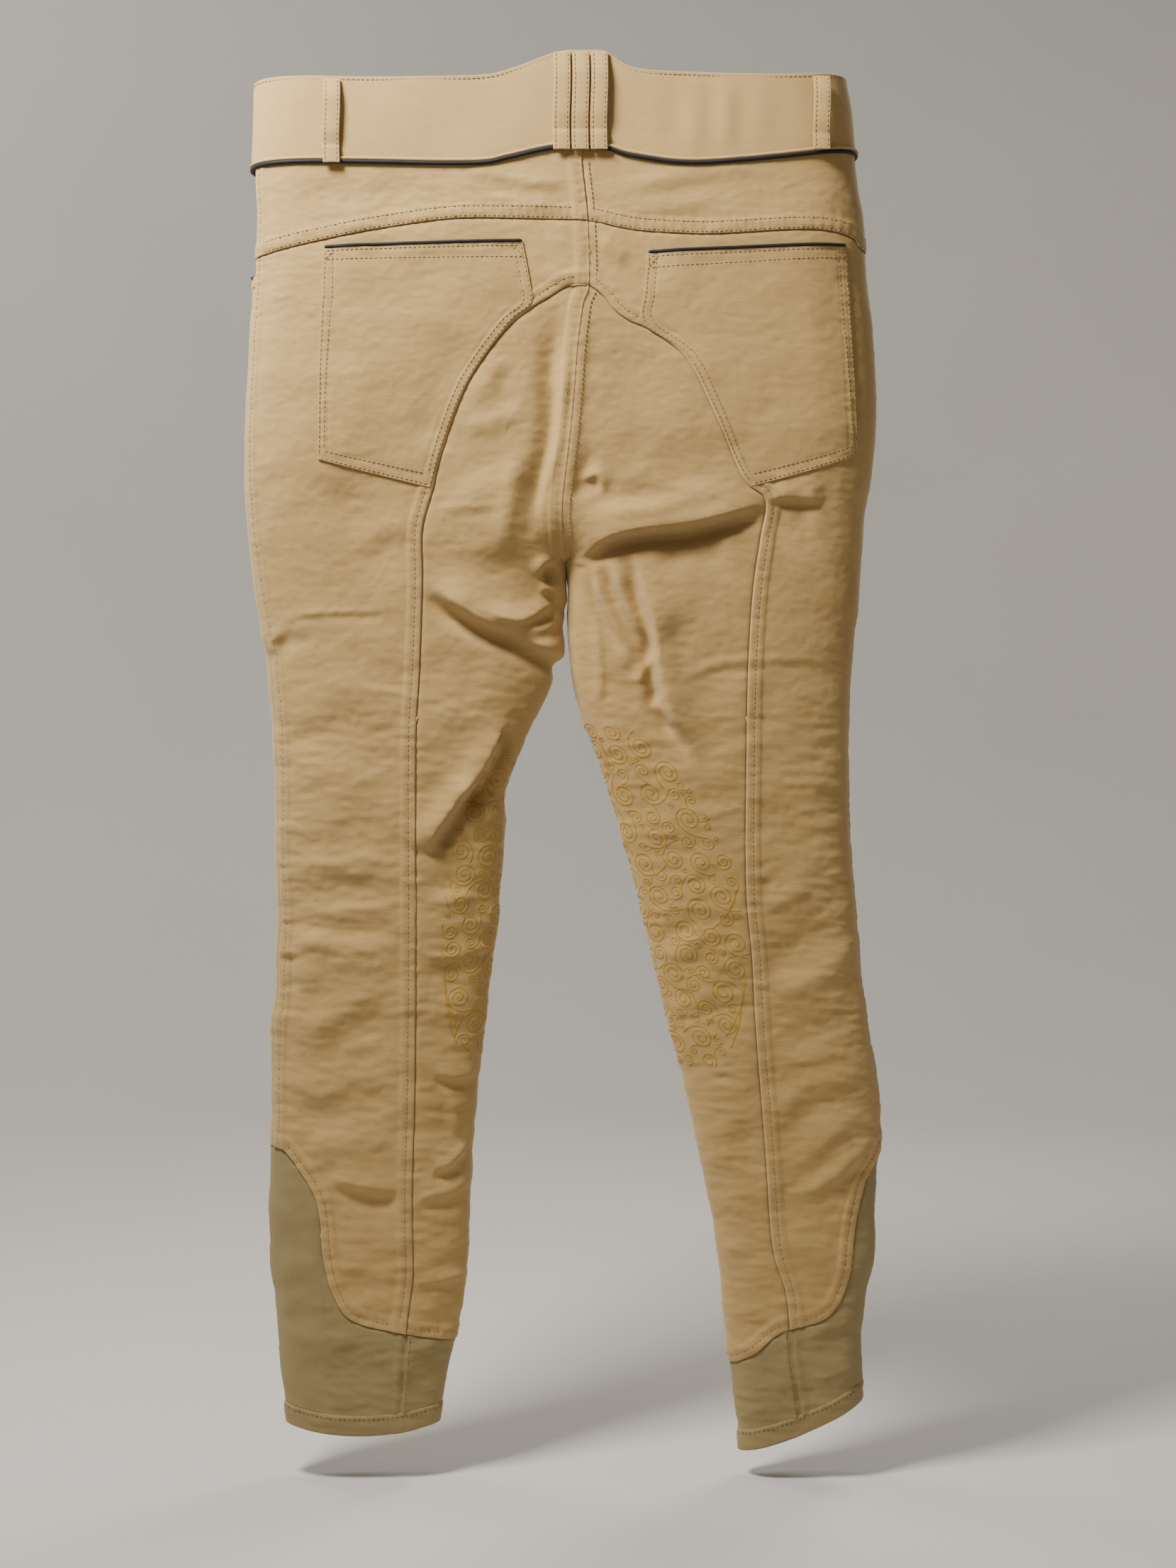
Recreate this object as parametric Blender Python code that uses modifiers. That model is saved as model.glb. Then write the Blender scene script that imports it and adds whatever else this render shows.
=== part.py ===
"""Full-length riding breeches, hung by the waistband and seen from the wearer's back at -Y.

Units are metres, +Z is up, the wearer faces +Y and the wearer's left leg is at -X. The origin is
inside the waistband, level with the grip of the two clips of a trouser hanger.

Every cloth piece is a patch of a flattened tube: one tube for the hips and one for each leg. A
place on a tube is (angle, height). Angle 0 is the tube's -X fold, pi/2 the middle of its back, pi
its +X fold and 3*pi/2 the middle of its front.
"""

import math

import bmesh
import bpy
import numpy as np
from mathutils import Vector

# Driving dimensions
CLOTH = 0.0016
BAND_CLOTH = 0.0022
BAND_STAND = 0.0008
SEAM_GAP = 0.0004
HEM_STRIP = 0.02
CLEAR = 0.0004
HIP_Z = -0.330
KNEE_Z = -0.562
HEM_DEPTH = 0.0145
PIPING_RADIUS = 0.0015
LOOP_WIDTH = 0.012
LOOP_CLOTH = 0.0016
LOOP_STAND = 0.0062
POCKET_CLOTH = 0.0014
POCKET_ROOM = 0.0066
BAG_DEPTH = 0.0082
GRIP_THICKNESS = 0.0006
GRIP_STAND = 0.0009
AXIS_STAND = 0.0002
FRONT_TOP = 0.0060
FRONT_BOTTOM = -0.0470
POCKET_MOUTH_X = 0.128
POCKET_MOUTH_Z = -0.127
FLY_X = 0.006
ZIP_TOP = -0.052
ZIP_BOTTOM = -0.196
ZIP_HALF = 0.006
ZIP_TAPE_WIDTH = 0.008
TEETH_WIDTH = 0.005
TEETH_DEPTH = 0.0022
PIN_RADIUS = 0.0005
PIN_CLEAR = 0.00025
PULL_SIZE = (0.0038, 0.0014, 0.022)
SLIDER_SIZE = (0.0086, 0.0016, 0.0110)
TAB_REACH = 0.036
TAB_HEIGHT = 0.050
TAB_STAND = 0.0020
HOOK_SIZE = (0.0080, 0.0006, 0.0090)
BAR_SIZE = (0.0030, 0.0005, 0.0110)
HOOK_X = 0.021
HOOK_HEIGHTS = {"upper": -0.0090, "lower": -0.0320}
INNER_WRAP = 0.90
SOCK_FAN = 0.25
TURN = 2 * math.pi
PELVIS_BOXINESS = 6.0
LEG_BOXINESS = 4.0

# Sections of the flattened tubes: height, -X fold, +X fold, half depth
PELVIS_SECTIONS = (
    (0.034, -0.2148, 0.2096, 0.0300),
    (-0.008, -0.2153, 0.2133, 0.0300),
    (-0.060, -0.2156, 0.2180, 0.0300),
    (-0.130, -0.2163, 0.2248, 0.0300),
    (-0.200, -0.2208, 0.2310, 0.0300),
    (-0.265, -0.2228, 0.2284, 0.0285),
    (-0.330, -0.2178, 0.2209, 0.0260),
)
LEFT_LEG_SECTIONS = (
    (-0.330, -0.2178, 0.0070, 0.0260),
    (-0.386, -0.2092, 0.0068, 0.0258),
    (-0.418, -0.2055, 0.0052, 0.0254),
    (-0.446, -0.2027, -0.0146, 0.0250),
    (-0.492, -0.2007, -0.0340, 0.0240),
    (-0.582, -0.1992, -0.0394, 0.0220),
    (-0.672, -0.2040, -0.0498, 0.0208),
    (-0.763, -0.2044, -0.0589, 0.0196),
    (-0.824, -0.2044, -0.0622, 0.0186),
    (-0.884, -0.1987, -0.0702, 0.0174),
    (-0.953, -0.1915, -0.0850, 0.0160),
)
RIGHT_LEG_SECTIONS = (
    (-0.330, 0.0094, 0.2209, 0.0260),
    (-0.386, 0.0096, 0.2148, 0.0258),
    (-0.418, 0.0118, 0.2122, 0.0254),
    (-0.446, 0.0206, 0.2118, 0.0250),
    (-0.492, 0.0378, 0.2118, 0.0240),
    (-0.582, 0.0634, 0.2163, 0.0220),
    (-0.672, 0.0850, 0.2264, 0.0208),
    (-0.735, 0.1011, 0.2346, 0.0198),
    (-0.824, 0.1165, 0.2299, 0.0186),
    (-0.884, 0.1222, 0.2206, 0.0174),
    (-0.968, 0.1335, 0.2206, 0.0160),
)

# Seams as (x, z) points on the back
BAND_TOP = (
    (-0.2153, 0.0120), (-0.1370, 0.0096), (-0.0574, 0.0106), (-0.0327, 0.0146), (0.0015, 0.0267),
    (0.0200, 0.0282), (0.0367, 0.0274), (0.0473, 0.0206), (0.0614, 0.0152), (0.0966, 0.0130),
    (0.1585, 0.0116), (0.2093, 0.0152),
)
BAND_BOTTOM = (
    (-0.2158, -0.0478), (-0.1343, -0.0493), (-0.0574, -0.0503), (-0.0327, -0.0463),
    (0.0015, -0.0392), (0.0367, -0.0398), (0.0538, -0.0447), (0.0966, -0.0500), (0.1585, -0.0453),
    (0.2130, -0.0372),
)
YOKE_SEAM = (
    (-0.2130, -0.1150), (-0.1650, -0.1056), (-0.1187, -0.0966), (-0.0724, -0.0915),
    (0.0231, -0.0915), (0.0659, -0.0980), (0.1122, -0.1010), (0.2108, -0.1010), (0.2190, -0.1080),
)
CENTRE_SEAM = (
    (0.0196, -0.0400), (0.0246, -0.0915), (0.0256, -0.1370), (0.0216, -0.1504), (0.0176, -0.1790),
    (0.0121, -0.2430), (0.0081, -0.2760), (0.0082, -0.3300),
)
LEFT_ARCH = (
    (0.0256, -0.1370), (0.0110, -0.1374), (-0.0035, -0.1460), (-0.0307, -0.1655),
    (-0.0594, -0.2047), (-0.0760, -0.2470), (-0.0850, -0.2812), (-0.0926, -0.3300),
)
RIGHT_ARCH = (
    (0.0256, -0.1370), (0.0357, -0.1440), (0.0649, -0.1670), (0.0920, -0.1871), (0.1112, -0.2223),
    (0.1288, -0.2626), (0.1508, -0.2900), (0.1443, -0.3300),
)
LEFT_LEG_SEAM = ((-0.0926, -0.330), (-0.0971, -0.463), (-0.0981, -0.678), (-0.1001, -0.837),
                 (-0.1066, -0.900), (-0.1110, -0.953))
RIGHT_LEG_SEAM = ((0.1443, -0.330), (0.1383, -0.394), (0.1363, -0.556), (0.1439, -0.668),
                  (0.1554, -0.817), (0.1690, -0.900), (0.1790, -0.953))
LEFT_SOCK_TOP = (
    (-0.1932, -0.7495), (-0.1800, -0.7660), (-0.1675, -0.7890), (-0.1620, -0.8270),
    (-0.1550, -0.8560), (-0.1408, -0.8717), (-0.1061, -0.8800), (-0.0785, -0.8850),
)
RIGHT_SOCK_TOP = (
    (0.1298, -0.9020), (0.1439, -0.8940), (0.1620, -0.8795), (0.1896, -0.8710), (0.2030, -0.8590),
    (0.2105, -0.8380), (0.2165, -0.8000), (0.2230, -0.7720),
)
LEFT_SIDE_ANGLE = 0.24
RIGHT_SIDE_ANGLE = math.pi + 0.24
SOCK_SIDE_Z = -0.746
LEFT_HEM_Z = (-0.9455, -0.9510, -0.9455)
RIGHT_HEM_Z = (-0.9660, -0.9520, -0.9300)

COLLECTION = "riding_breeches"

for old in list(bpy.data.objects):
    bpy.data.objects.remove(old, do_unlink=True)
parts = bpy.data.collections.new(COLLECTION)
bpy.context.scene.collection.children.link(parts)
cutters = bpy.data.collections.new("cutters")
bpy.context.scene.collection.children.link(cutters)


# Materials


def material(name, colour, roughness, metallic=0.0):
    made = bpy.data.materials.new(name)
    made.use_nodes = True
    shader = made.node_tree.nodes["Principled BSDF"]
    shader.inputs["Base Color"].default_value = (*colour, 1.0)
    shader.inputs["Roughness"].default_value = roughness
    shader.inputs["Metallic"].default_value = metallic
    return made


LOOKS = {
    "twill": ((0.49, 0.34, 0.17), 0.85, 0.0),
    "knit": ((0.33, 0.27, 0.15), 0.9, 0.0),
    "piping": ((0.008, 0.008, 0.009), 0.7, 0.0),
    "silicone": ((0.50, 0.30, 0.08), 0.5, 0.0),
    "zip": ((0.30, 0.22, 0.13), 0.6, 0.0),
    "metal": ((0.62, 0.60, 0.56), 0.3, 1.0),
}


# Tubes and curves on them


class Tube:
    """A flattened tube: its folds and half depth are smooth functions of the height."""

    def __init__(self, sections, boxiness):
        ordered = np.array(sorted(sections))
        self.heights = ordered[:, 0]
        self.values = ordered[:, 1:]
        self.slopes = np.gradient(self.values, self.heights, axis=0)
        self.boxiness = boxiness

    def section(self, z):
        """Middle x, half width and half depth at a height, by cubic Hermite pieces."""
        z = min(max(z, self.heights[0]), self.heights[-1])
        i = int(np.clip(np.searchsorted(self.heights, z) - 1, 0, len(self.heights) - 2))
        span = self.heights[i + 1] - self.heights[i]
        t = (z - self.heights[i]) / span
        low, high = self.values[i], self.values[i + 1]
        low_slope, high_slope = self.slopes[i] * span, self.slopes[i + 1] * span
        left, right, depth = (
            (2 * t**3 - 3 * t**2 + 1) * low
            + (t**3 - 2 * t**2 + t) * low_slope
            + (3 * t**2 - 2 * t**3) * high
            + (t**3 - t**2) * high_slope
        )
        return (left + right) / 2, (right - left) / 2, depth

    def skin(self, angle, z):
        middle, half, depth = self.section(z)
        across = -math.cos(angle)
        out = math.sqrt(max(0.0, 1 - abs(across) ** self.boxiness))
        return Vector((middle + half * across, -math.copysign(depth * out, math.sin(angle)), z))

    def normal(self, angle, z):
        step = 1e-3
        along = self.skin(angle + step, z) - self.skin(angle - step, z)
        up = self.skin(angle, z + step) - self.skin(angle, z - step)
        return along.cross(up).normalized()

    def point(self, angle, z, stand=0.0):
        return self.skin(angle, z) + self.normal(angle, z) * float(stand)

    def back(self, x, z):
        """The angle of a point on the back, given its x."""
        middle, half, _ = self.section(z)
        return math.acos(-min(1.0, max(-1.0, (x - middle) / half)))

    def front(self, x, z):
        return 2 * math.pi - self.back(x, z)


pelvis = Tube(PELVIS_SECTIONS, PELVIS_BOXINESS)
legs = {
    "left": Tube(LEFT_LEG_SECTIONS, LEG_BOXINESS),
    "right": Tube(RIGHT_LEG_SECTIONS, LEG_BOXINESS),
}


def smooth(points, per_span=6):
    """A Catmull-Rom curve through points, as a list of closer points."""
    ends = [2 * np.array(points[0]) - np.array(points[1])]
    ends += [np.array(p, float) for p in points]
    ends += [2 * np.array(points[-1]) - np.array(points[-2])]
    made = []
    for before, a, b, after in zip(ends, ends[1:], ends[2:], ends[3:]):
        for t in np.arange(per_span) / per_span:
            made.append(
                0.5 * (2 * a + (b - before) * t + (2 * before - 5 * a + 4 * b - after) * t**2
                       + (3 * a - before - 3 * b + after) * t**3)
            )
    made.append(ends[-2])
    return made


class Path:
    """A line on a tube through (angle, height) points, run along from 0 to 1 by its length.

    Stations, where given, say where along the line each point is.
    """

    def __init__(self, tube, places, stations=None):
        self.places = np.array(places, float)
        spots = np.array([tube.skin(*place) for place in self.places])
        steps = np.linalg.norm(np.diff(spots, axis=0), axis=1)
        self.along = np.concatenate([[0.0], np.cumsum(steps)])
        self.along = self.along / self.along[-1] if stations is None else stations

    def at(self, t):
        return np.array([np.interp(t, self.along, self.places[:, k]) for k in (0, 1)])


def on_back(tube, points):
    return [(tube.back(x, z), z) for x, z in smooth(points)]


def between(points, low=None, high=None):
    """The stretch of a run of (angle, z) or (x, z) places whose heights lie between two heights."""
    run = np.array(points, float)
    if run[0, 1] < run[-1, 1]:
        run = run[::-1]
    top = run[0, 1] if high is None else high
    bottom = run[-1, 1] if low is None else low
    inside = [p for p in run if bottom < p[1] < top]
    ends = [(np.interp(-z, -run[:, 1], run[:, 0]), z) for z in (top, bottom)]
    return [ends[0], *inside, ends[1]]


def column(angle, top, bottom, count=12):
    return [(angle, z) for z in np.linspace(top, bottom, count)]


def level(first, last, z, count=12):
    return [(angle, z) for angle in np.linspace(first, last, count)]


# Solid sheets


def patch(tube, top, bottom, left, right):
    """A Coons patch: its four sides are runs of places, and u follows the angle while v goes down."""
    sides = (top, bottom, left, right)
    top, bottom, left, right = (s if isinstance(s, Path) else Path(tube, s) for s in sides)
    corners = top.at(0), top.at(1), bottom.at(0), bottom.at(1)

    def place(u, v):
        ruled = (1 - v) * top.at(u) + v * bottom.at(u) + (1 - u) * left.at(v) + u * right.at(v)
        flat = (
            (1 - u) * (1 - v) * corners[0] + u * (1 - v) * corners[1]
            + (1 - u) * v * corners[2] + u * v * corners[3]
        )
        return ruled - flat

    return place


def cells(count):
    """Where a patch's columns lie: evenly, with a narrow one along each seam."""
    return np.concatenate([[0.0, HEM_STRIP], np.arange(1, count) / count, [1 - HEM_STRIP, 1.0]])


def ring(top, bottom):
    """A band once round its tube, between two runs of as many places that close on themselves."""
    top, bottom = np.array(top), np.array(bottom)

    def place(u, v):
        k = round(u * (len(top) - 1))
        return (1 - v) * top[k] + v * bottom[k]

    return place


def spots_of(tube, place, columns, rows, stand, closed):
    """Points of a patch in space and the skin's normals there, as grids of rows by columns."""
    across = np.arange(columns + 1) / columns if closed else cells(columns)
    grid = np.zeros((rows + 1, len(across), 3))
    normals = np.zeros_like(grid)
    for j in range(rows + 1):
        for i, u in enumerate(across):
            v = j / rows
            angle, z = place(u, v)
            rise = stand(u, v) if callable(stand) else stand
            grid[j, i] = tube.point(angle, z, rise)
            normals[j, i] = tube.normal(angle, z)
    return grid, normals


def drawn_in(grid, normals, gap, closed):
    """The grid with its border moved inwards by a seam's half gap, with mitred corners."""
    rows, columns = grid.shape[0] - 1, grid.shape[1] - 1
    if closed:
        loops = [[(0, i) for i in range(columns)], [(rows, i) for i in range(columns, 0, -1)]]
    else:
        loops = [[
            *((0, i) for i in range(columns)),
            *((j, columns) for j in range(rows)),
            *((rows, i) for i in range(columns, 0, -1)),
            *((j, 0) for j in range(rows, 0, -1)),
        ]]
    moved = grid.copy()
    for loop in loops:
        for k, here in enumerate(loop):
            before, after = loop[k - 1], loop[(k + 1) % len(loop)]
            ways = []
            for a, b in ((before, here), (here, after)):
                inward = np.cross(grid[b] - grid[a], normals[here])
                ways.append(inward / np.linalg.norm(inward))
            mitre = (ways[0] + ways[1]) / (1 + max(ways[0] @ ways[1], -0.4))
            moved[here] = grid[here] + gap * mitre
    if closed:
        moved[0, columns] = moved[0, 0]
        moved[rows, 0] = moved[rows, columns]
    return moved


def link(name, mesh, look, smooth_angle=40):
    made = bpy.data.objects.new(name, mesh)
    parts.objects.link(made)
    made.data.materials.append(material(name, *LOOKS[look]))
    mesh.shade_smooth()
    mesh.set_sharp_from_angle(angle=math.radians(smooth_angle))
    return made


def add_sheet(name, grid, thickness, look, closed=False, outward=False):
    """A sheet through a grid of points, made solid on its inner or outer side."""
    rows, columns = grid.shape[0] - 1, grid.shape[1] - 1
    work = bmesh.new()
    bmesh.ops.create_grid(work, x_segments=columns, y_segments=rows, size=0.5)
    for vert in work.verts:
        i = round((vert.co.x + 0.5) * columns)
        j = round((0.5 - vert.co.y) * rows)
        vert.co = Vector(grid[j, i])
    if closed:
        bmesh.ops.remove_doubles(work, verts=work.verts, dist=1e-5)
    mesh = bpy.data.meshes.new(name)
    work.to_mesh(mesh)
    work.free()
    made = link(name, mesh, look)
    wall = made.modifiers.new("cloth", "SOLIDIFY")
    wall.thickness = thickness
    wall.offset = 1.0 if outward else -1.0
    wall.use_even_offset = False
    return made


def cloth(name, tube, place, columns, rows, look="twill", stand=0.0, thickness=CLOTH,
          closed=False, outward=False, gap=SEAM_GAP):
    grid, normals = spots_of(tube, place, columns, rows, stand, closed)
    grid = drawn_in(grid, normals, gap, closed)
    return add_sheet(name, grid, thickness, look, closed, outward)


def add_cord(name, points, radius, look):
    """A round cord along points: a bevelled curve with filled ends."""
    curve = bpy.data.curves.new(name, "CURVE")
    curve.dimensions = "3D"
    spline = curve.splines.new("POLY")
    spline.points.add(len(points) - 1)
    for spot, point in zip(points, spline.points):
        point.co = (*spot, 1.0)
    curve.bevel_depth = radius
    curve.bevel_resolution = 1
    curve.use_fill_caps = True
    made = bpy.data.objects.new(name, curve)
    parts.objects.link(made)
    curve.materials.append(material(name, *LOOKS[look]))
    return made


def add_block(name, size, centre, look, bevel=0.0, collection=parts):
    work = bmesh.new()
    bmesh.ops.create_cube(work, size=1.0)
    bmesh.ops.scale(work, verts=work.verts, vec=Vector(size))
    mesh = bpy.data.meshes.new(name)
    work.to_mesh(mesh)
    work.free()
    made = bpy.data.objects.new(name, mesh)
    made.location = centre
    collection.objects.link(made)
    if look:
        mesh.materials.append(material(name, *LOOKS[look]))
    if bevel:
        edge = made.modifiers.new("edges", "BEVEL")
        edge.width = bevel
        edge.segments = 2
    return made


def add_pin(name, radius, length, centre, collection=cutters):
    """A round pin along X."""
    work = bmesh.new()
    bmesh.ops.create_cone(
        work, cap_ends=True, segments=16, radius1=radius, radius2=radius, depth=length
    )
    mesh = bpy.data.meshes.new(name)
    work.to_mesh(mesh)
    work.free()
    made = bpy.data.objects.new(name, mesh)
    made.rotation_euler = (0.0, math.pi / 2, 0.0)
    made.location = centre
    collection.objects.link(made)
    return made


def as_helper(made):
    made.hide_render = True
    made.display_type = "WIRE"
    return made


def combine(target, tool, operation):
    step = target.modifiers.new(tool.name, "BOOLEAN")
    step.operation = operation
    step.solver = "EXACT"
    step.object = as_helper(tool)


def on_axis(name, children, place):
    """An empty on a joint's axis that carries what turns or slides there."""
    axis = bpy.data.objects.new(name, None)
    axis.empty_display_size = 0.02
    axis.location = place
    parts.objects.link(axis)
    bpy.context.view_layer.update()
    for child in children:
        child.parent = axis
        child.matrix_parent_inverse = axis.matrix_world.inverted()
    return axis


# Waistband


def band_edge(points, front_z, first, last, count=40):
    """An edge of the waistband between two angles: level on the front, following points behind."""
    xs, zs = np.array(smooth(points)).T
    made = []
    for angle in np.linspace(first, last, count):
        x = pelvis.skin(angle, front_z).x
        behind = 0.5 + 0.5 * math.tanh(math.sin(angle) * 6 + 2.2)
        made.append((angle, behind * float(np.interp(x, xs, zs)) + (1 - behind) * front_z))
    return made


def band_piece(name, first, last, columns):
    top = band_edge(BAND_TOP, FRONT_TOP, first, last)
    bottom = band_edge(BAND_BOTTOM, FRONT_BOTTOM, first, last)
    left = column(first, top[0][1], bottom[0][1])
    right = column(last, top[-1][1], bottom[-1][1])
    place = patch(pelvis, top, bottom, left, right)
    return cloth(name, pelvis, place, columns, 2, stand=BAND_STAND, thickness=BAND_CLOTH)


fly_angle = pelvis.front(FLY_X, FRONT_BOTTOM)
left_end = fly_angle + 0.012 / 0.21
right_end = fly_angle - 0.002 / 0.21
band_piece("waistband_back", LEFT_SIDE_ANGLE, RIGHT_SIDE_ANGLE, 24)
band_piece("waistband_front_right", RIGHT_SIDE_ANGLE, right_end, 9)
band_piece("waistband_front_left", left_end, 2 * math.pi + LEFT_SIDE_ANGLE, 9)

piping_stand = PIPING_RADIUS + CLEAR + 0.0002
piping_run = band_edge(BAND_BOTTOM, FRONT_BOTTOM, fly_angle + 0.016 / 0.21 - 2 * math.pi,
                       fly_angle - 0.010 / 0.21, 64)
piping_points = [pelvis.point(angle, z - 0.0006, piping_stand) for angle, z in piping_run]
add_cord("waistband_piping", piping_points, PIPING_RADIUS, "piping")


# Belt loops


def add_loop(name, x, top, bottom, face):
    """A strap that stands off the waistband between its two sewn ends."""
    find = pelvis.back if face == "back" else pelvis.front
    columns, rows = 1, 9
    grid = np.zeros((rows + 1, columns + 1, 3))
    middle_z = (top + bottom) / 2
    out = Vector((0.0, -1.0 if face == "back" else 1.0, 0.0))
    along = Vector((0.0, 0.0, -1.0)).cross(out)
    edges = [pelvis.point(find(x + side, middle_z), middle_z, BAND_STAND)
             for side in (-LOOP_WIDTH / 2, LOOP_WIDTH / 2)]
    base = Vector((x, max(edge.dot(out) for edge in edges) * out.y, middle_z))
    for j in range(rows + 1):
        t = j / rows
        lift = 2 * CLEAR + LOOP_STAND * min(1.0, 1.35 * math.sin(math.pi * min(t / 0.86, 1.0)))
        lift = max(lift, 2 * PIPING_RADIUS + 0.0011) if t > 0.8 else lift
        for i in range(columns + 1):
            spot = base + along * ((0.5 - i) * LOOP_WIDTH)
            spot += Vector((0.0, 0.0, top + (bottom - top) * t - middle_z))
            grid[j, i] = spot + out * lift
    return add_sheet(name, grid, LOOP_CLOTH, "twill", outward=True)


for name, x in (("left", 0.0060), ("middle", 0.0192), ("right", 0.0324)):
    add_loop(f"belt_loop_centre_{name}", x, 0.0262, -0.0428, "back")
add_loop("belt_loop_back_left", -0.1560, 0.0076, -0.0520, "back")
add_loop("belt_loop_back_right", 0.1893, 0.0105, -0.0420, "back")
add_loop("belt_loop_front_left", -0.1000, 0.0040, -0.0498, "front")
add_loop("belt_loop_front_right", 0.1120, 0.0040, -0.0498, "front")


# Seat and hips


yoke_run = on_back(pelvis, YOKE_SEAM)
centre_run = on_back(pelvis, CENTRE_SEAM)
arch_runs = {"left": on_back(pelvis, LEFT_ARCH), "right": on_back(pelvis, RIGHT_ARCH)}
left_side = LEFT_SIDE_ANGLE
right_side = RIGHT_SIDE_ANGLE


def by_angle(run, first, last):
    """The stretch of a run between two angles, with its end points set on those angles."""
    line = np.array(sorted(run, key=lambda place: place[0]))
    inside = [p for p in line if first < p[0] < last]
    ends = [(angle, float(np.interp(angle, line[:, 0], line[:, 1]))) for angle in (first, last)]
    return [ends[0], *inside, ends[1]]


def centre_angle(z):
    line = np.array(centre_run)
    return float(np.interp(-z, -line[:, 1], line[:, 0]))


band_floor = band_edge(BAND_BOTTOM, FRONT_BOTTOM, left_side, right_side, 60)
yoke_meet = float(np.interp(centre_angle(-0.0915), *np.array(yoke_run).T))


def yoke(side, first, last):
    top = by_angle(band_floor, first, last)
    bottom = by_angle(yoke_run, first, last)
    left = [(first, z) for z in np.linspace(top[0][1], bottom[0][1], 8)]
    right = [(last, z) for z in np.linspace(top[-1][1], bottom[-1][1], 8)]
    if side == "left":
        right = [(centre_angle(z), z) for _, z in right]
    else:
        left = [(centre_angle(z), z) for _, z in left]
    top[0], top[-1] = left[0], right[0]
    bottom[0], bottom[-1] = left[-1], right[-1]
    place = patch(pelvis, top, bottom, left, right)
    return cloth(f"back_yoke_{side}", pelvis, place, 12, 2)


yoke("left", left_side, centre_angle(yoke_meet))
yoke("right", centre_angle(yoke_meet), right_side)


def hip_back(side):
    """The outer back panel, from the yoke to the hip line, with the curved seam of the seat."""
    seam = [*between(centre_run, low=-0.137, high=yoke_meet), *arch_runs[side][1:]]
    edge_angle = left_side if side == "left" else right_side
    ends = sorted((edge_angle, seam[0][0]))
    top = by_angle(yoke_run, *ends)
    edge = column(edge_angle, top[0 if side == "left" else -1][1], HIP_Z)
    bottom = level(*sorted((edge_angle, seam[-1][0])), HIP_Z)
    left, right = (edge, seam) if side == "left" else (seam, edge)
    return cloth(f"hip_back_{side}", pelvis, patch(pelvis, top, bottom, left, right), 9, 20)


def seat(side):
    """The inner back panel under the arch, between the curved seam and the middle seam."""
    arch = arch_runs[side]
    start = 6
    outer = arch[start:]
    inner = between(centre_run, low=HIP_Z, high=-0.137)
    top = arch[start::-1] if side == "left" else arch[: start + 1]
    bottom = level(*sorted((outer[-1][0], inner[-1][0])), HIP_Z)
    left, right = (outer, inner) if side == "left" else (inner, outer)
    return cloth(f"seat_panel_{side}", pelvis, patch(pelvis, top, bottom, left, right), 5, 10)


for side in ("left", "right"):
    hip_back(side)
    seat(side)


# Front of the hips, its zip and its pockets


def mouth_run(side):
    """The pocket's opening edge, from the waistband round to the side seam."""
    if side == "left":
        start = pelvis.front(-POCKET_MOUTH_X, FRONT_BOTTOM)
        end = TURN + left_side
    else:
        start = pelvis.front(POCKET_MOUTH_X, FRONT_BOTTOM)
        end = right_side
    run = []
    for t in np.linspace(0.0, 1.0, 18):
        fall = FRONT_BOTTOM + (POCKET_MOUTH_Z - FRONT_BOTTOM) * math.sin(t * math.pi / 2) ** 0.8
        run.append((start + (end - start) * (1 - math.cos(t * math.pi / 2)) ** 0.9, fall))
    return run


def hip_front(side):
    """The front panel, which wraps round the hip as far as the side seam."""
    mouth = mouth_run(side)
    edge = [*mouth, *column(mouth[-1][0], POCKET_MOUTH_Z, HIP_Z, 14)[1:]]
    sign = -1.0 if side == "left" else 1.0
    middle = [
        (pelvis.front(FLY_X + sign * (ZIP_HALF if z > ZIP_BOTTOM else 0.0004), z), z)
        for z in (*np.linspace(FRONT_BOTTOM, ZIP_BOTTOM + 0.001, 10),
                  *np.linspace(ZIP_BOTTOM - 0.006, HIP_Z, 8))
    ]
    ends = sorted((mouth[0][0], middle[0][0]))
    top = level(*ends, FRONT_BOTTOM)
    bottom = level(*sorted((edge[-1][0], middle[-1][0])), HIP_Z)
    left, right = (middle, edge) if side == "left" else (edge, middle)
    return cloth(f"hip_front_{side}", pelvis, patch(pelvis, top, bottom, left, right), 10, 10)


def pocket_bag(side):
    """The cloth behind a front pocket's opening, deep enough for a hand."""
    reach = 0.070 if side == "left" else 0.080
    if side == "left":
        first, last = pelvis.front(-reach, -0.12), TURN + left_side + 0.04
    else:
        first, last = right_side - 0.04, pelvis.front(reach, -0.12)
    top = level(first, last, FRONT_BOTTOM + 0.010)
    bottom = [(a, -0.196 - 0.012 * math.sin(math.pi * k / 11)) for k, (a, _) in enumerate(top)]
    left = column(first, top[0][1], bottom[0][1])
    right = column(last, top[-1][1], bottom[-1][1])
    place = patch(pelvis, top, bottom, left, right)
    return cloth(f"front_pocket_bag_{side}", pelvis, place, 9, 4, stand=-BAG_DEPTH, gap=0.0)


for side in ("left", "right"):
    hip_front(side)
    pocket_bag(side)
    mouth = mouth_run(side)[1:-1]
    lip = [pelvis.point(angle, z, PIPING_RADIUS * 0.8 + CLEAR) for angle, z in mouth]
    add_cord(f"front_pocket_piping_{side}", lip, PIPING_RADIUS * 0.8, "piping")

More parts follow.
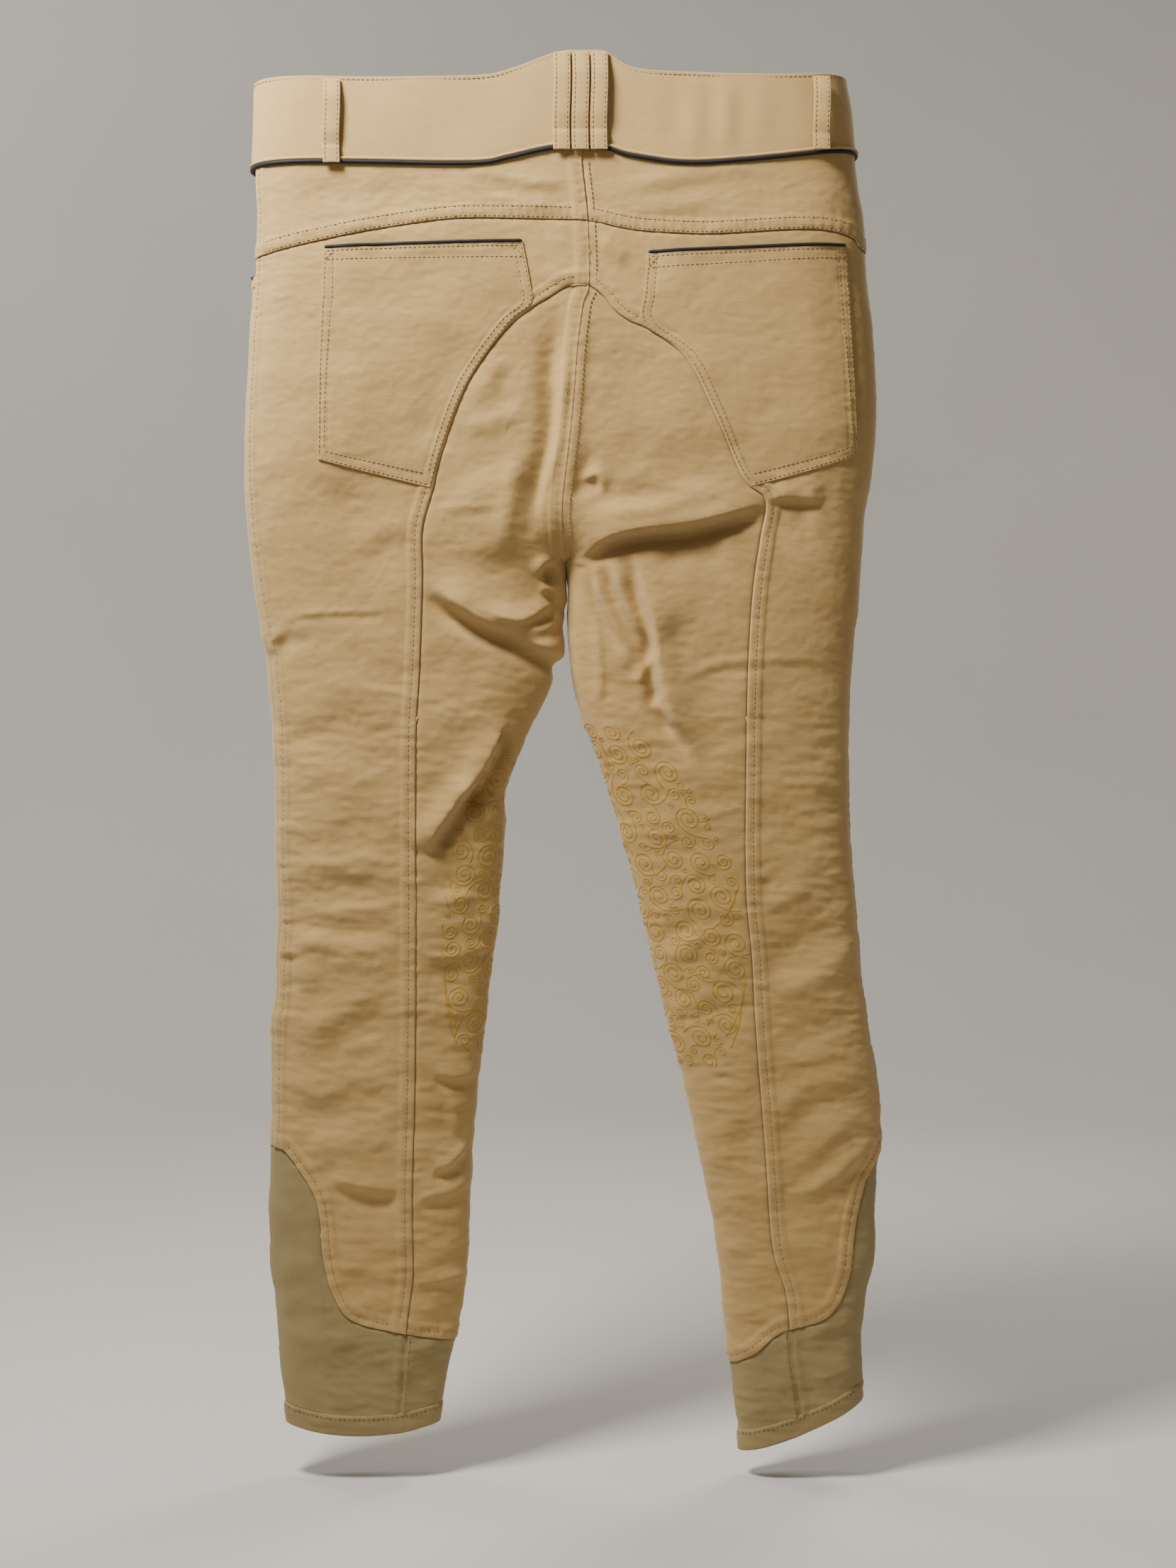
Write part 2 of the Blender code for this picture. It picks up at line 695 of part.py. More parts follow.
front_y = pelvis.skin(fly_angle, -0.1).y
zip_length = ZIP_TOP - ZIP_BOTTOM
zip_middle = (ZIP_TOP + ZIP_BOTTOM) / 2
tape_y = front_y - CLOTH - CLEAR - 0.0004
for side, sign in (("left", -1.0), ("right", 1.0)):
    add_block(
        f"zip_tape_{side}",
        (ZIP_TAPE_WIDTH, 0.0008, zip_length),
        (FLY_X + sign * (TEETH_WIDTH / 2 + CLEAR + ZIP_TAPE_WIDTH / 2), tape_y, zip_middle),
        "zip",
    )
add_block(
    "zip_teeth",
    (TEETH_WIDTH, TEETH_DEPTH, zip_length - 0.004),
    (FLY_X, front_y - CLEAR - TEETH_DEPTH / 2, zip_middle + 0.002),
    "metal",
)
add_block("zip_bottom_stop", (0.0052, 0.0024, 0.0032),
          (FLY_X, front_y - CLEAR - TEETH_DEPTH / 2, ZIP_BOTTOM + 0.0002), "metal", bevel=0.0003)
add_block("fly_shield", (0.044, 0.0012, 0.160), (FLY_X, tape_y - 0.0022, zip_middle), "twill")


# Zip slider and its pull


slider_z = ZIP_TOP - 0.008
plate_y = front_y + CLEAR
pin = Vector((FLY_X, plate_y + 0.0034, slider_z + 0.003))
slider = add_block("zip_slider", SLIDER_SIZE, (FLY_X, plate_y + SLIDER_SIZE[1] / 2, slider_z),
                   "metal", bevel=0.0003)
for side, sign in (("left", -1.0), ("right", 1.0)):
    ear = add_block(f"slider_ear_{side}", (0.0010, 0.0036, 0.0030),
                    (FLY_X + sign * 0.0026, plate_y + 0.0028, pin.z), None, collection=cutters)
    combine(slider, ear, "UNION")
combine(slider, add_pin("slider_pin", PIN_RADIUS, 0.0056, pin), "UNION")

pull = add_block("zip_pull", PULL_SIZE, (pin.x, pin.y, pin.z + 0.0014 - PULL_SIZE[2] / 2), "metal")
combine(pull, add_pin("pull_eye", 0.0013, 0.0036, pin), "UNION")
combine(pull, add_pin("pull_hole", PIN_RADIUS + PIN_CLEAR, 0.008, pin), "DIFFERENCE")
pull_axis = on_axis("zip_pull_axis", [pull], pin)
on_axis("zip_slider_axis", [slider, pull_axis], (FLY_X, front_y, slider_z))


# Waistband tab with its two hooks, which close on two bars


band_face = front_y + BAND_STAND
tab_inner = band_face + TAB_STAND
tab = add_block(
    "waistband_tab",
    (2 * TAB_REACH, BAND_CLOTH, TAB_HEIGHT),
    (FLY_X, tab_inner + BAND_CLOTH / 2, (FRONT_TOP + FRONT_BOTTOM) / 2),
    "twill",
    bevel=0.0006,
)
swinging = [tab]
for name, z in HOOK_HEIGHTS.items():
    hook_y = tab_inner - CLEAR + 0.0001 - HOOK_SIZE[1] / 2
    swinging.append(add_block(f"waist_hook_{name}", HOOK_SIZE, (FLY_X + HOOK_X, hook_y, z), "metal"))
    bar_y = band_face + CLEAR - 0.0001 + BAR_SIZE[1] / 2
    add_block(f"waist_bar_{name}", BAR_SIZE, (FLY_X + HOOK_X, bar_y, z), "metal")
on_axis("waist_tab_axis", swinging, (FLY_X - TAB_REACH, tab_inner + BAND_CLOTH, 0.0))


# Back pockets


LEFT_POCKET = (
    ((-0.1620, -0.1115), (-0.1650, -0.1860), (-0.1660, -0.2600)),
    ((-0.0215, -0.1068), (-0.0165, -0.1340), (-0.0152, -0.1500), (-0.0307, -0.1625),
     (-0.0594, -0.2017), (-0.0760, -0.2440), (-0.0860, -0.2790)),
)
RIGHT_POCKET = (
    ((0.0663, -0.1150), (0.0640, -0.1430), (0.0632, -0.1620), (0.0920, -0.1841), (0.1112, -0.2193),
     (0.1288, -0.2596), (0.1388, -0.2780)),
    ((0.2070, -0.1085), (0.2120, -0.1860), (0.2155, -0.2550)),
)


def back_pocket(side, left_points, right_points):
    """A patch pocket: sewn down at its sides and foot, and standing open along its top."""
    left = [(pelvis.back(x, z), z) for x, z in left_points]
    right = [(pelvis.back(x, z), z) for x, z in right_points]
    top = list(zip(*(np.linspace(left[0][k], right[0][k], 8) for k in (0, 1))))
    bottom = list(zip(*(np.linspace(left[-1][k], right[-1][k], 8) for k in (0, 1))))

    def stand(u, v):
        across = 1 - abs(2 * u - 1) ** 6
        down = 1 - max(0.0, v) ** 5
        return CLEAR + POCKET_ROOM * across * down

    place = patch(pelvis, top, bottom, left, right)
    pocket = cloth(f"back_pocket_{side}", pelvis, place, 9, 8, stand=stand,
                   thickness=POCKET_CLOTH, outward=True)
    lip_radius = PIPING_RADIUS * 0.8
    lip = []
    for t in np.linspace(0.04, 0.96, 13):
        angle, z = place(t, 0.0)
        rise = stand(t, 0.0) + POCKET_CLOTH / 2
        lip.append(pelvis.point(angle, z + lip_radius + CLEAR, rise))
    add_cord(f"back_pocket_piping_{side}", lip, lip_radius, "piping")
    return pocket


back_pocket("left", *LEFT_POCKET)
back_pocket("right", *RIGHT_POCKET)


# Legs


LEG = {
    "left": {"seam": LEFT_LEG_SEAM, "sock": LEFT_SOCK_TOP, "hem": LEFT_HEM_Z},
    "right": {"seam": RIGHT_LEG_SEAM, "sock": RIGHT_SOCK_TOP, "hem": RIGHT_HEM_Z},
}


def leg_seams(side):
    """The back, side and inner seams of a leg as functions of the height that give angles."""
    tube = legs[side]
    line = np.array(smooth(LEG[side]["seam"]))

    def back(z):
        return tube.back(float(np.interp(-z, -line[:, 1], line[:, 0])), z)

    if side == "left":
        return back, LEFT_SIDE_ANGLE + 0.08, math.pi + INNER_WRAP
    return back, math.pi + LEFT_SIDE_ANGLE + 0.02, -INNER_WRAP


def sock_line(side):
    """The sock's upper edge once round the leg: the front mirrors the back."""
    tube = legs[side]
    back = on_back(tube, LEG[side]["sock"])
    if side == "left":
        outer = (0.0, SOCK_SIDE_Z)
        inner = (math.pi, back[-1][1] - 0.0005)
        half = [outer, *back[:-1], inner]
        return half + [(TURN - angle, z) for angle, z in half[-2::-1]]
    inner = (0.0, back[0][1] - 0.0005)
    outer = (math.pi, SOCK_SIDE_Z - 0.003)
    half = [inner, *back[1:], outer]
    return half + [(TURN - angle, z) for angle, z in half[-2::-1]]


def sock_between(side, first, last):
    """The part of the sock's edge between two angles, which may lie below 0 or past a full turn."""
    line = sock_line(side)
    wide = [(a - TURN, z) for a, z in line[:-1]] + line + [(a + TURN, z) for a, z in line[1:]]
    inside = [p for p in wide if first + 1e-6 < p[0] < last - 1e-6]
    angles, heights = np.array(wide).T
    ends = [(angle, float(np.interp(angle, angles, heights))) for angle in (first, last)]
    return [ends[0], *inside, ends[1]]


def leg_panel(name, side, left, right, top, bottom, columns, rows):
    """A leg panel between two seams, each given as a function of the height."""
    tube = legs[side]
    level_foot = not isinstance(bottom, Path)
    ends = (bottom, bottom) if level_foot else (bottom.places[0][1], bottom.places[-1][1])
    left_run = [(left(z), z) for z in np.linspace(top, ends[0], 24)]
    right_run = [(right(z), z) for z in np.linspace(top, ends[1], 24)]
    head = level(left_run[0][0], right_run[0][0], top)
    if not level_foot:
        even = np.interp(bottom.along, (0, 1), (left_run[0][0], right_run[0][0]))
        below = np.interp(bottom.places[:, 0], bottom.places[[0, -1], 0], even[[0, -1]])
        angles = SOCK_FAN * even + (1 - SOCK_FAN) * below
        head = Path(tube, [(angle, top) for angle in angles], bottom.along)
    foot = level(left_run[-1][0], right_run[-1][0], bottom) if level_foot else bottom
    place = patch(tube, head, foot, left_run, right_run)
    return cloth(f"{name}_{side}", tube, place, columns, rows)


def settle(side, finder):
    """The angle and height where a back seam meets the sock's edge."""
    line = np.array(sock_line(side))
    z = -0.88
    for _ in range(20):
        z = float(np.interp(finder(z), line[:, 0], line[:, 1]))
    return finder(z)


def make_leg(side):
    back, outer, inner = leg_seams(side)
    meet = settle(side, back)
    if side == "left":
        spans = {
            "outer_back": (lambda z: outer, back, outer, meet),
            "inner": (back, lambda z: inner, meet, inner),
            "front": (lambda z: inner, lambda z: TURN + outer, inner, TURN + outer),
        }
    else:
        spans = {
            "inner": (lambda z: inner, back, inner, meet),
            "outer_back": (back, lambda z: outer, meet, outer),
            "front": (lambda z: outer, lambda z: TURN + inner, outer, TURN + inner),
        }
    pieces = {"thigh": [], "calf": []}
    sock_top = []
    for name, (left, right, first, last) in spans.items():
        columns = 9 if name == "front" else 7
        pieces["thigh"].append(
            leg_panel(f"thigh_{name}", side, left, right, HIP_Z, KNEE_Z, columns, 5))
        columns += 2
        edge = Path(legs[side], sock_between(side, first, last))
        foot = [edge.at(u) for u in cells(columns)]
        pieces["calf"].append(
            leg_panel(f"calf_{name}", side, left, right, KNEE_Z,
                      Path(legs[side], foot, cells(columns)), columns, 7))
        sock_top += foot[1:] if sock_top else foot
    tube = legs[side]
    low, middle, high = LEG[side]["hem"]

    def hem_z(angle, lift=0.0):
        across = -math.cos(angle)
        bow = middle - (low + high) / 2
        return (low + high) / 2 + across * (high - low) / 2 + bow * (1 - across**2) + lift

    start = sock_top[0][0]
    hem_top = [(angle, hem_z(angle, HEM_DEPTH)) for angle, _ in sock_top]
    pieces["calf"].append(
        cloth(f"sock_{side}", tube, ring(sock_top, hem_top), len(hem_top) - 1, 4, "knit",
              closed=True, gap=1.5 * SEAM_GAP))
    even = np.linspace(start, start + TURN, 25)
    hem_sides = [[(angle, hem_z(angle, lift)) for angle in even] for lift in (HEM_DEPTH, 0.0)]
    pieces["calf"].append(
        cloth(f"hem_{side}", tube, ring(*hem_sides), 24, 1, "knit", closed=True))
    return pieces


GRIP = {
    "left": {"x": (-0.0765, -0.0440), "top": -0.470, "bottom": -0.683},
    "right": {"x": (0.0420, 0.1240), "top": -0.4430, "bottom": -0.692},
}


def grip(side, part, top, bottom, columns):
    """A printed knee grip's area on the inner side of a leg, above or below the knee line."""
    tube = legs[side]
    whole = GRIP[side]
    height = whole["top"] - whole["bottom"]

    def edges(z):
        t = (whole["top"] - z) / height
        swell = 0.80 + 0.20 * math.sin(math.pi * t)
        middle, half, _ = tube.section(z)
        if side == "left":
            near = middle + 0.86 * half
            return near - swell * (whole["x"][1] - whole["x"][0]), near
        near = middle - 0.86 * half
        return near, near + swell * 0.070

    heights = np.linspace(top, bottom, 14)
    left = [(tube.back(edges(z)[0], z), z) for z in heights]
    right = [(tube.back(edges(z)[1], z), z) for z in heights]
    place = patch(tube, level(left[0][0], right[0][0], top), level(left[-1][0], right[-1][0], bottom),
                  left, right)
    return cloth(f"knee_grip_{part}_{side}", tube, place, columns, 5, "silicone", stand=GRIP_STAND,
                 thickness=GRIP_THICKNESS, outward=True)


hip_axis_y = pelvis.section(HIP_Z)[2] + AXIS_STAND
for side in ("left", "right"):
    made = make_leg(side)
    whole = GRIP[side]
    columns = 4 if side == "left" else 6
    made["thigh"].append(grip(side, "upper", whole["top"], KNEE_Z, columns))
    made["calf"].append(grip(side, "lower", KNEE_Z, whole["bottom"], columns))
    middle, _, depth = legs[side].section(KNEE_Z)
    knee_y = -(depth + GRIP_STAND + GRIP_THICKNESS + AXIS_STAND)
    knee = on_axis(f"knee_{side}_axis", made["calf"], (middle, knee_y, KNEE_Z))
    on_axis(f"hip_{side}_axis", [*made["thigh"], knee],
            (legs[side].section(HIP_Z)[0], hip_axis_y, HIP_Z))
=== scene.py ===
import math

import bmesh
import bpy
import numpy as np
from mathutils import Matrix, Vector


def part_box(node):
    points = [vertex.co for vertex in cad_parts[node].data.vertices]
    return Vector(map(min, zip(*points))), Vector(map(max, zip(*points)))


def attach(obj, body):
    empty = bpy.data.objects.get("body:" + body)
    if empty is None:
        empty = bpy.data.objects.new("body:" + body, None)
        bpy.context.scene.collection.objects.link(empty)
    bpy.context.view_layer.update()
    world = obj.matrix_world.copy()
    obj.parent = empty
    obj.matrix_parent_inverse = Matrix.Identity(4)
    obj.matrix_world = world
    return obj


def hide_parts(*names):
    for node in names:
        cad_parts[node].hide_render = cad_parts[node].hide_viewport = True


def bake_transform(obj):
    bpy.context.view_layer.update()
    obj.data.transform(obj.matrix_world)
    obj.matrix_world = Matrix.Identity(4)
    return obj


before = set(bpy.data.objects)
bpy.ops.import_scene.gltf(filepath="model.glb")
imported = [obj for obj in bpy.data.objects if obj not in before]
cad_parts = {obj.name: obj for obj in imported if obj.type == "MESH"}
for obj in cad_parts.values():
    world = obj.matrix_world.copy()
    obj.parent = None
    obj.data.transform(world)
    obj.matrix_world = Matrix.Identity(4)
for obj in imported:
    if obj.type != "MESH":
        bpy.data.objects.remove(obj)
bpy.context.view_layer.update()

# Sizes, in metres. The wearer's back faces -Y and their left leg is at -X.
MM = 0.001
TURN = 2 * math.pi
CROTCH_Z = -0.330
SPLIT_Z = -0.446
# Steps of the cloth's grids: finer on the back, which the photo shows
BACK_STEP = 0.0015
FRONT_STEP = 0.0026
# Thickness of the leg cloth and of the waistband, and how far the band stands off
CLOTH = 0.0011
BAND_CLOTH = 0.0018
BAND_STAND = 0.0012
# Stitches: their pitch, length and radius
STITCH_STEP = 0.0034
STITCH_LENGTH = 0.0025
STITCH_RADIUS = 0.00034
# Rows of stitches: distances from a seam or an edge
ROW_NEAR = 0.0016
ROW_FAR = 0.0085
ROW_LEG = 0.0052
HEM_DEPTH = 0.0145
# The zip, and the top and foot of the front waistband
FLY_X = 0.006
ZIP_HALF = 0.006
ZIP_BOTTOM = -0.196
FRONT_TOP = 0.0060
FRONT_BOTTOM = -0.0470
# Where the front pocket mouths meet the side
POCKET_MOUTH_X = 0.128
POCKET_MOUTH_Z = -0.127
SOCK_SIDE_Z = -0.746
SOCK_FAN = 0.25
# The side seams, as angles from each side's outer fold
SIDES = ("left", "right")
SIDE_ANGLE = {"left": 0.24, "right": -0.24}
LEG_SIDE_ANGLE = {"left": 0.32, "right": -0.26}
INNER_WRAP = 0.90
# Belt loops
LOOP_WIDTH = 0.012
LOOP_CLOTH = 0.0013
LOOP_ROW = 0.0041
# Waistband
BAND_TOP_ROW = 0.0024
BAND_HEIGHT = 0.060
# About half the waistband's width: metres along the front for one radian
BAND_WRAP = 0.21
FLOOR_Z = -0.985
# Back pockets
POCKET_CLOTH = 0.0011
POCKET_BULGE = 0.0010
POCKET_OPEN = 0.0016
POCKET_ROWS = (ROW_NEAR, ROW_FAR - 1.5 * MM)
# Rows beside the centre seam, and along the top of the back pockets
ROW_CENTRE = 2.3 * MM
CENTRE_TOP = -0.05
POCKET_TOP_ROWS = (1.9 * MM, 8.0 * MM)
POCKET_REACH = 0.080

# The knee print: heights of its top and foot, then its reach from the inner fold, in metres
PRINT = {"left": (-0.468, -0.683, -0.010, 0.047), "right": (-0.446, -0.690, -0.010, 0.082)}
METAL_NODES = ("zip_bottom_stop", "zip_slider", "zip_pull", "waist_hook_upper",
               "waist_hook_lower", "waist_bar_upper", "waist_bar_lower")


def path(*numbers):
    """Points as (x, z) in metres, from x and the drop below the origin in tenths of a mm."""
    return np.array(numbers, float).reshape(-1, 2) * (1, -1) / 1e4


# Outlines: the outer and the inner fold of each leg
OUTER = {
    "left": path(-2148, -340, -2148, -130, -2158, 540, -2148, 840, -2163, 1290, -2198, 1900,
        -2223, 2500, -2213, 2950, -2183, 3250, -2148, 3560, -2092, 3860, -2057, 4160, -2027, 4460,
        -2007, 4910, -2012, 5220, -1992, 5820, -2007, 6120, -2012, 6420, -2042, 6730, -2037, 7330,
        -2047, 8230, -2012, 8540, -1987, 8840, -1962, 9140, -1916, 9440, -1890, 9700),
    "right": path(2075, -340, 2092, -130, 2133, 90, 2173, 540, 2223, 840, 2248, 1290, 2284, 1590,
        2314, 2200, 2284, 2650, 2228, 2950, 2183, 3560, 2153, 3860, 2123, 4160, 2113, 4610, 2118,
        5220, 2143, 5520, 2188, 6120, 2223, 6420, 2263, 6730, 2324, 7030, 2345, 7330, 2319, 7630,
        2299, 8230, 2248, 8540, 2203, 8840, 2218, 9140, 2206, 9440, 2200, 9700),
}
INNER = {
    "left": path(80, 3300, 88, 3500, 72, 3740, 35, 3980, -15, 4160, -75, 4310, -146, 4460, -221,
        4610, -340, 4910, -357, 5220, -392, 5820, -468, 6420, -533, 7030, -585, 7630, -619, 8230,
        -640, 8540, -699, 8840, -775, 9140, -825, 9440, -840, 9700),
    "right": path(80, 3300, 100, 3500, 92, 3740, 110, 3980, 135, 4160, 165, 4310, 206, 4460, 272,
        4610, 377, 4910, 468, 5220, 630, 5820, 765, 6420, 925, 7030, 1060, 7630, 1165, 8230, 1225,
        8840, 1308, 9440, 1335, 9700),
}

# Half the depth of the tube at each height
HALF_DEPTH = path(300, -340, 300, 2000, 285, 2650, 262, 3300, 250, 4460, 222, 5820, 208, 6720,
    196, 7630, 186, 8240, 174, 8840, 160, 9700)

# Seams on the back
BAND_TOP = path(-2153, -120, -1370, -96, -574, -106, -327, -146, 15, -267, 200, -282, 367, -274,
    473, -206, 614, -152, 966, -130, 1585, -116, 2093, -152)
BAND_BOTTOM = path(-2158, 478, -1343, 493, -574, 503, -327, 463, 15, 392, 367, 398, 538, 447, 966,
    500, 1585, 453, 2130, 372)
YOKE_SEAM = path(-2130, 1150, -1650, 1056, -1187, 966, -724, 905, -262, 900, 231, 915, 450, 960,
    659, 990, 1122, 1010, 1585, 985, 1890, 978, 2108, 1010, 2190, 1080)
CENTRE_SEAM = path(196, -300, 196, 400, 246, 915, 256, 1370, 216, 1504, 176, 1790, 151, 2113, 121,
    2430, 81, 2760, 65, 2970, 80, 3300)
ARCH = {
    "left": path(256, 1370, 110, 1374, -35, 1460, -150, 1530, -307, 1655, -458, 1836, -594, 2047,
        -699, 2289, -760, 2470, -815, 2651, -850, 2812, -926, 3100, -926, 3460, -951, 4135, -971,
        4460),
    "right": path(256, 1370, 357, 1454, 438, 1554, 538, 1625, 649, 1670, 795, 1761, 920, 1871,
        1016, 2017, 1112, 2223, 1207, 2425, 1288, 2626, 1368, 2772, 1500, 2890, 1463, 3150, 1413,
        3501, 1383, 3939, 1368, 4460),
}
LEG_SEAM = {
    "left": path(-971, 4460, -976, 5000, -981, 6780, -1006, 7830, -1001, 8370, -1041, 8700, -1066,
        9000, -1110, 9600),
    "right": path(1368, 4460, 1363, 5560, 1408, 6120, 1439, 6680, 1504, 7500, 1554, 8170, 1655,
        8530, 1700, 9000, 1790, 9600),
}
SOCK_TOP = {
    "left": path(-1932, 7495, -1800, 7660, -1675, 7890, -1635, 8270, -1550, 8560, -1408, 8717,
        -1061, 8800, -785, 8850),
    "right": path(1298, 9020, 1439, 8940, 1620, 8795, 1896, 8710, 2030, 8590, 2110, 8380, 2160,
        8000, 2230, 7720),
}
HEM_Z = {"left": (-0.9455, -0.9530, -0.9455), "right": (-0.9660, -0.9520, -0.9300)}

# The outer and the inner edge of each back pocket
POCKET = {
    "left": (path(-1620, 1115, -1650, 1860, -1660, 2600), path(-215, 1068, -165, 1340, -152, 1500,
        -307, 1635, -594, 2027, -770, 2450, -870, 2800)),
    "right": (path(2070, 1085, 2120, 1860, 2155, 2550), path(663, 1150, 640, 1430, 632, 1640, 920,
        1851, 1112, 2203, 1288, 2606, 1398, 2790)),
}

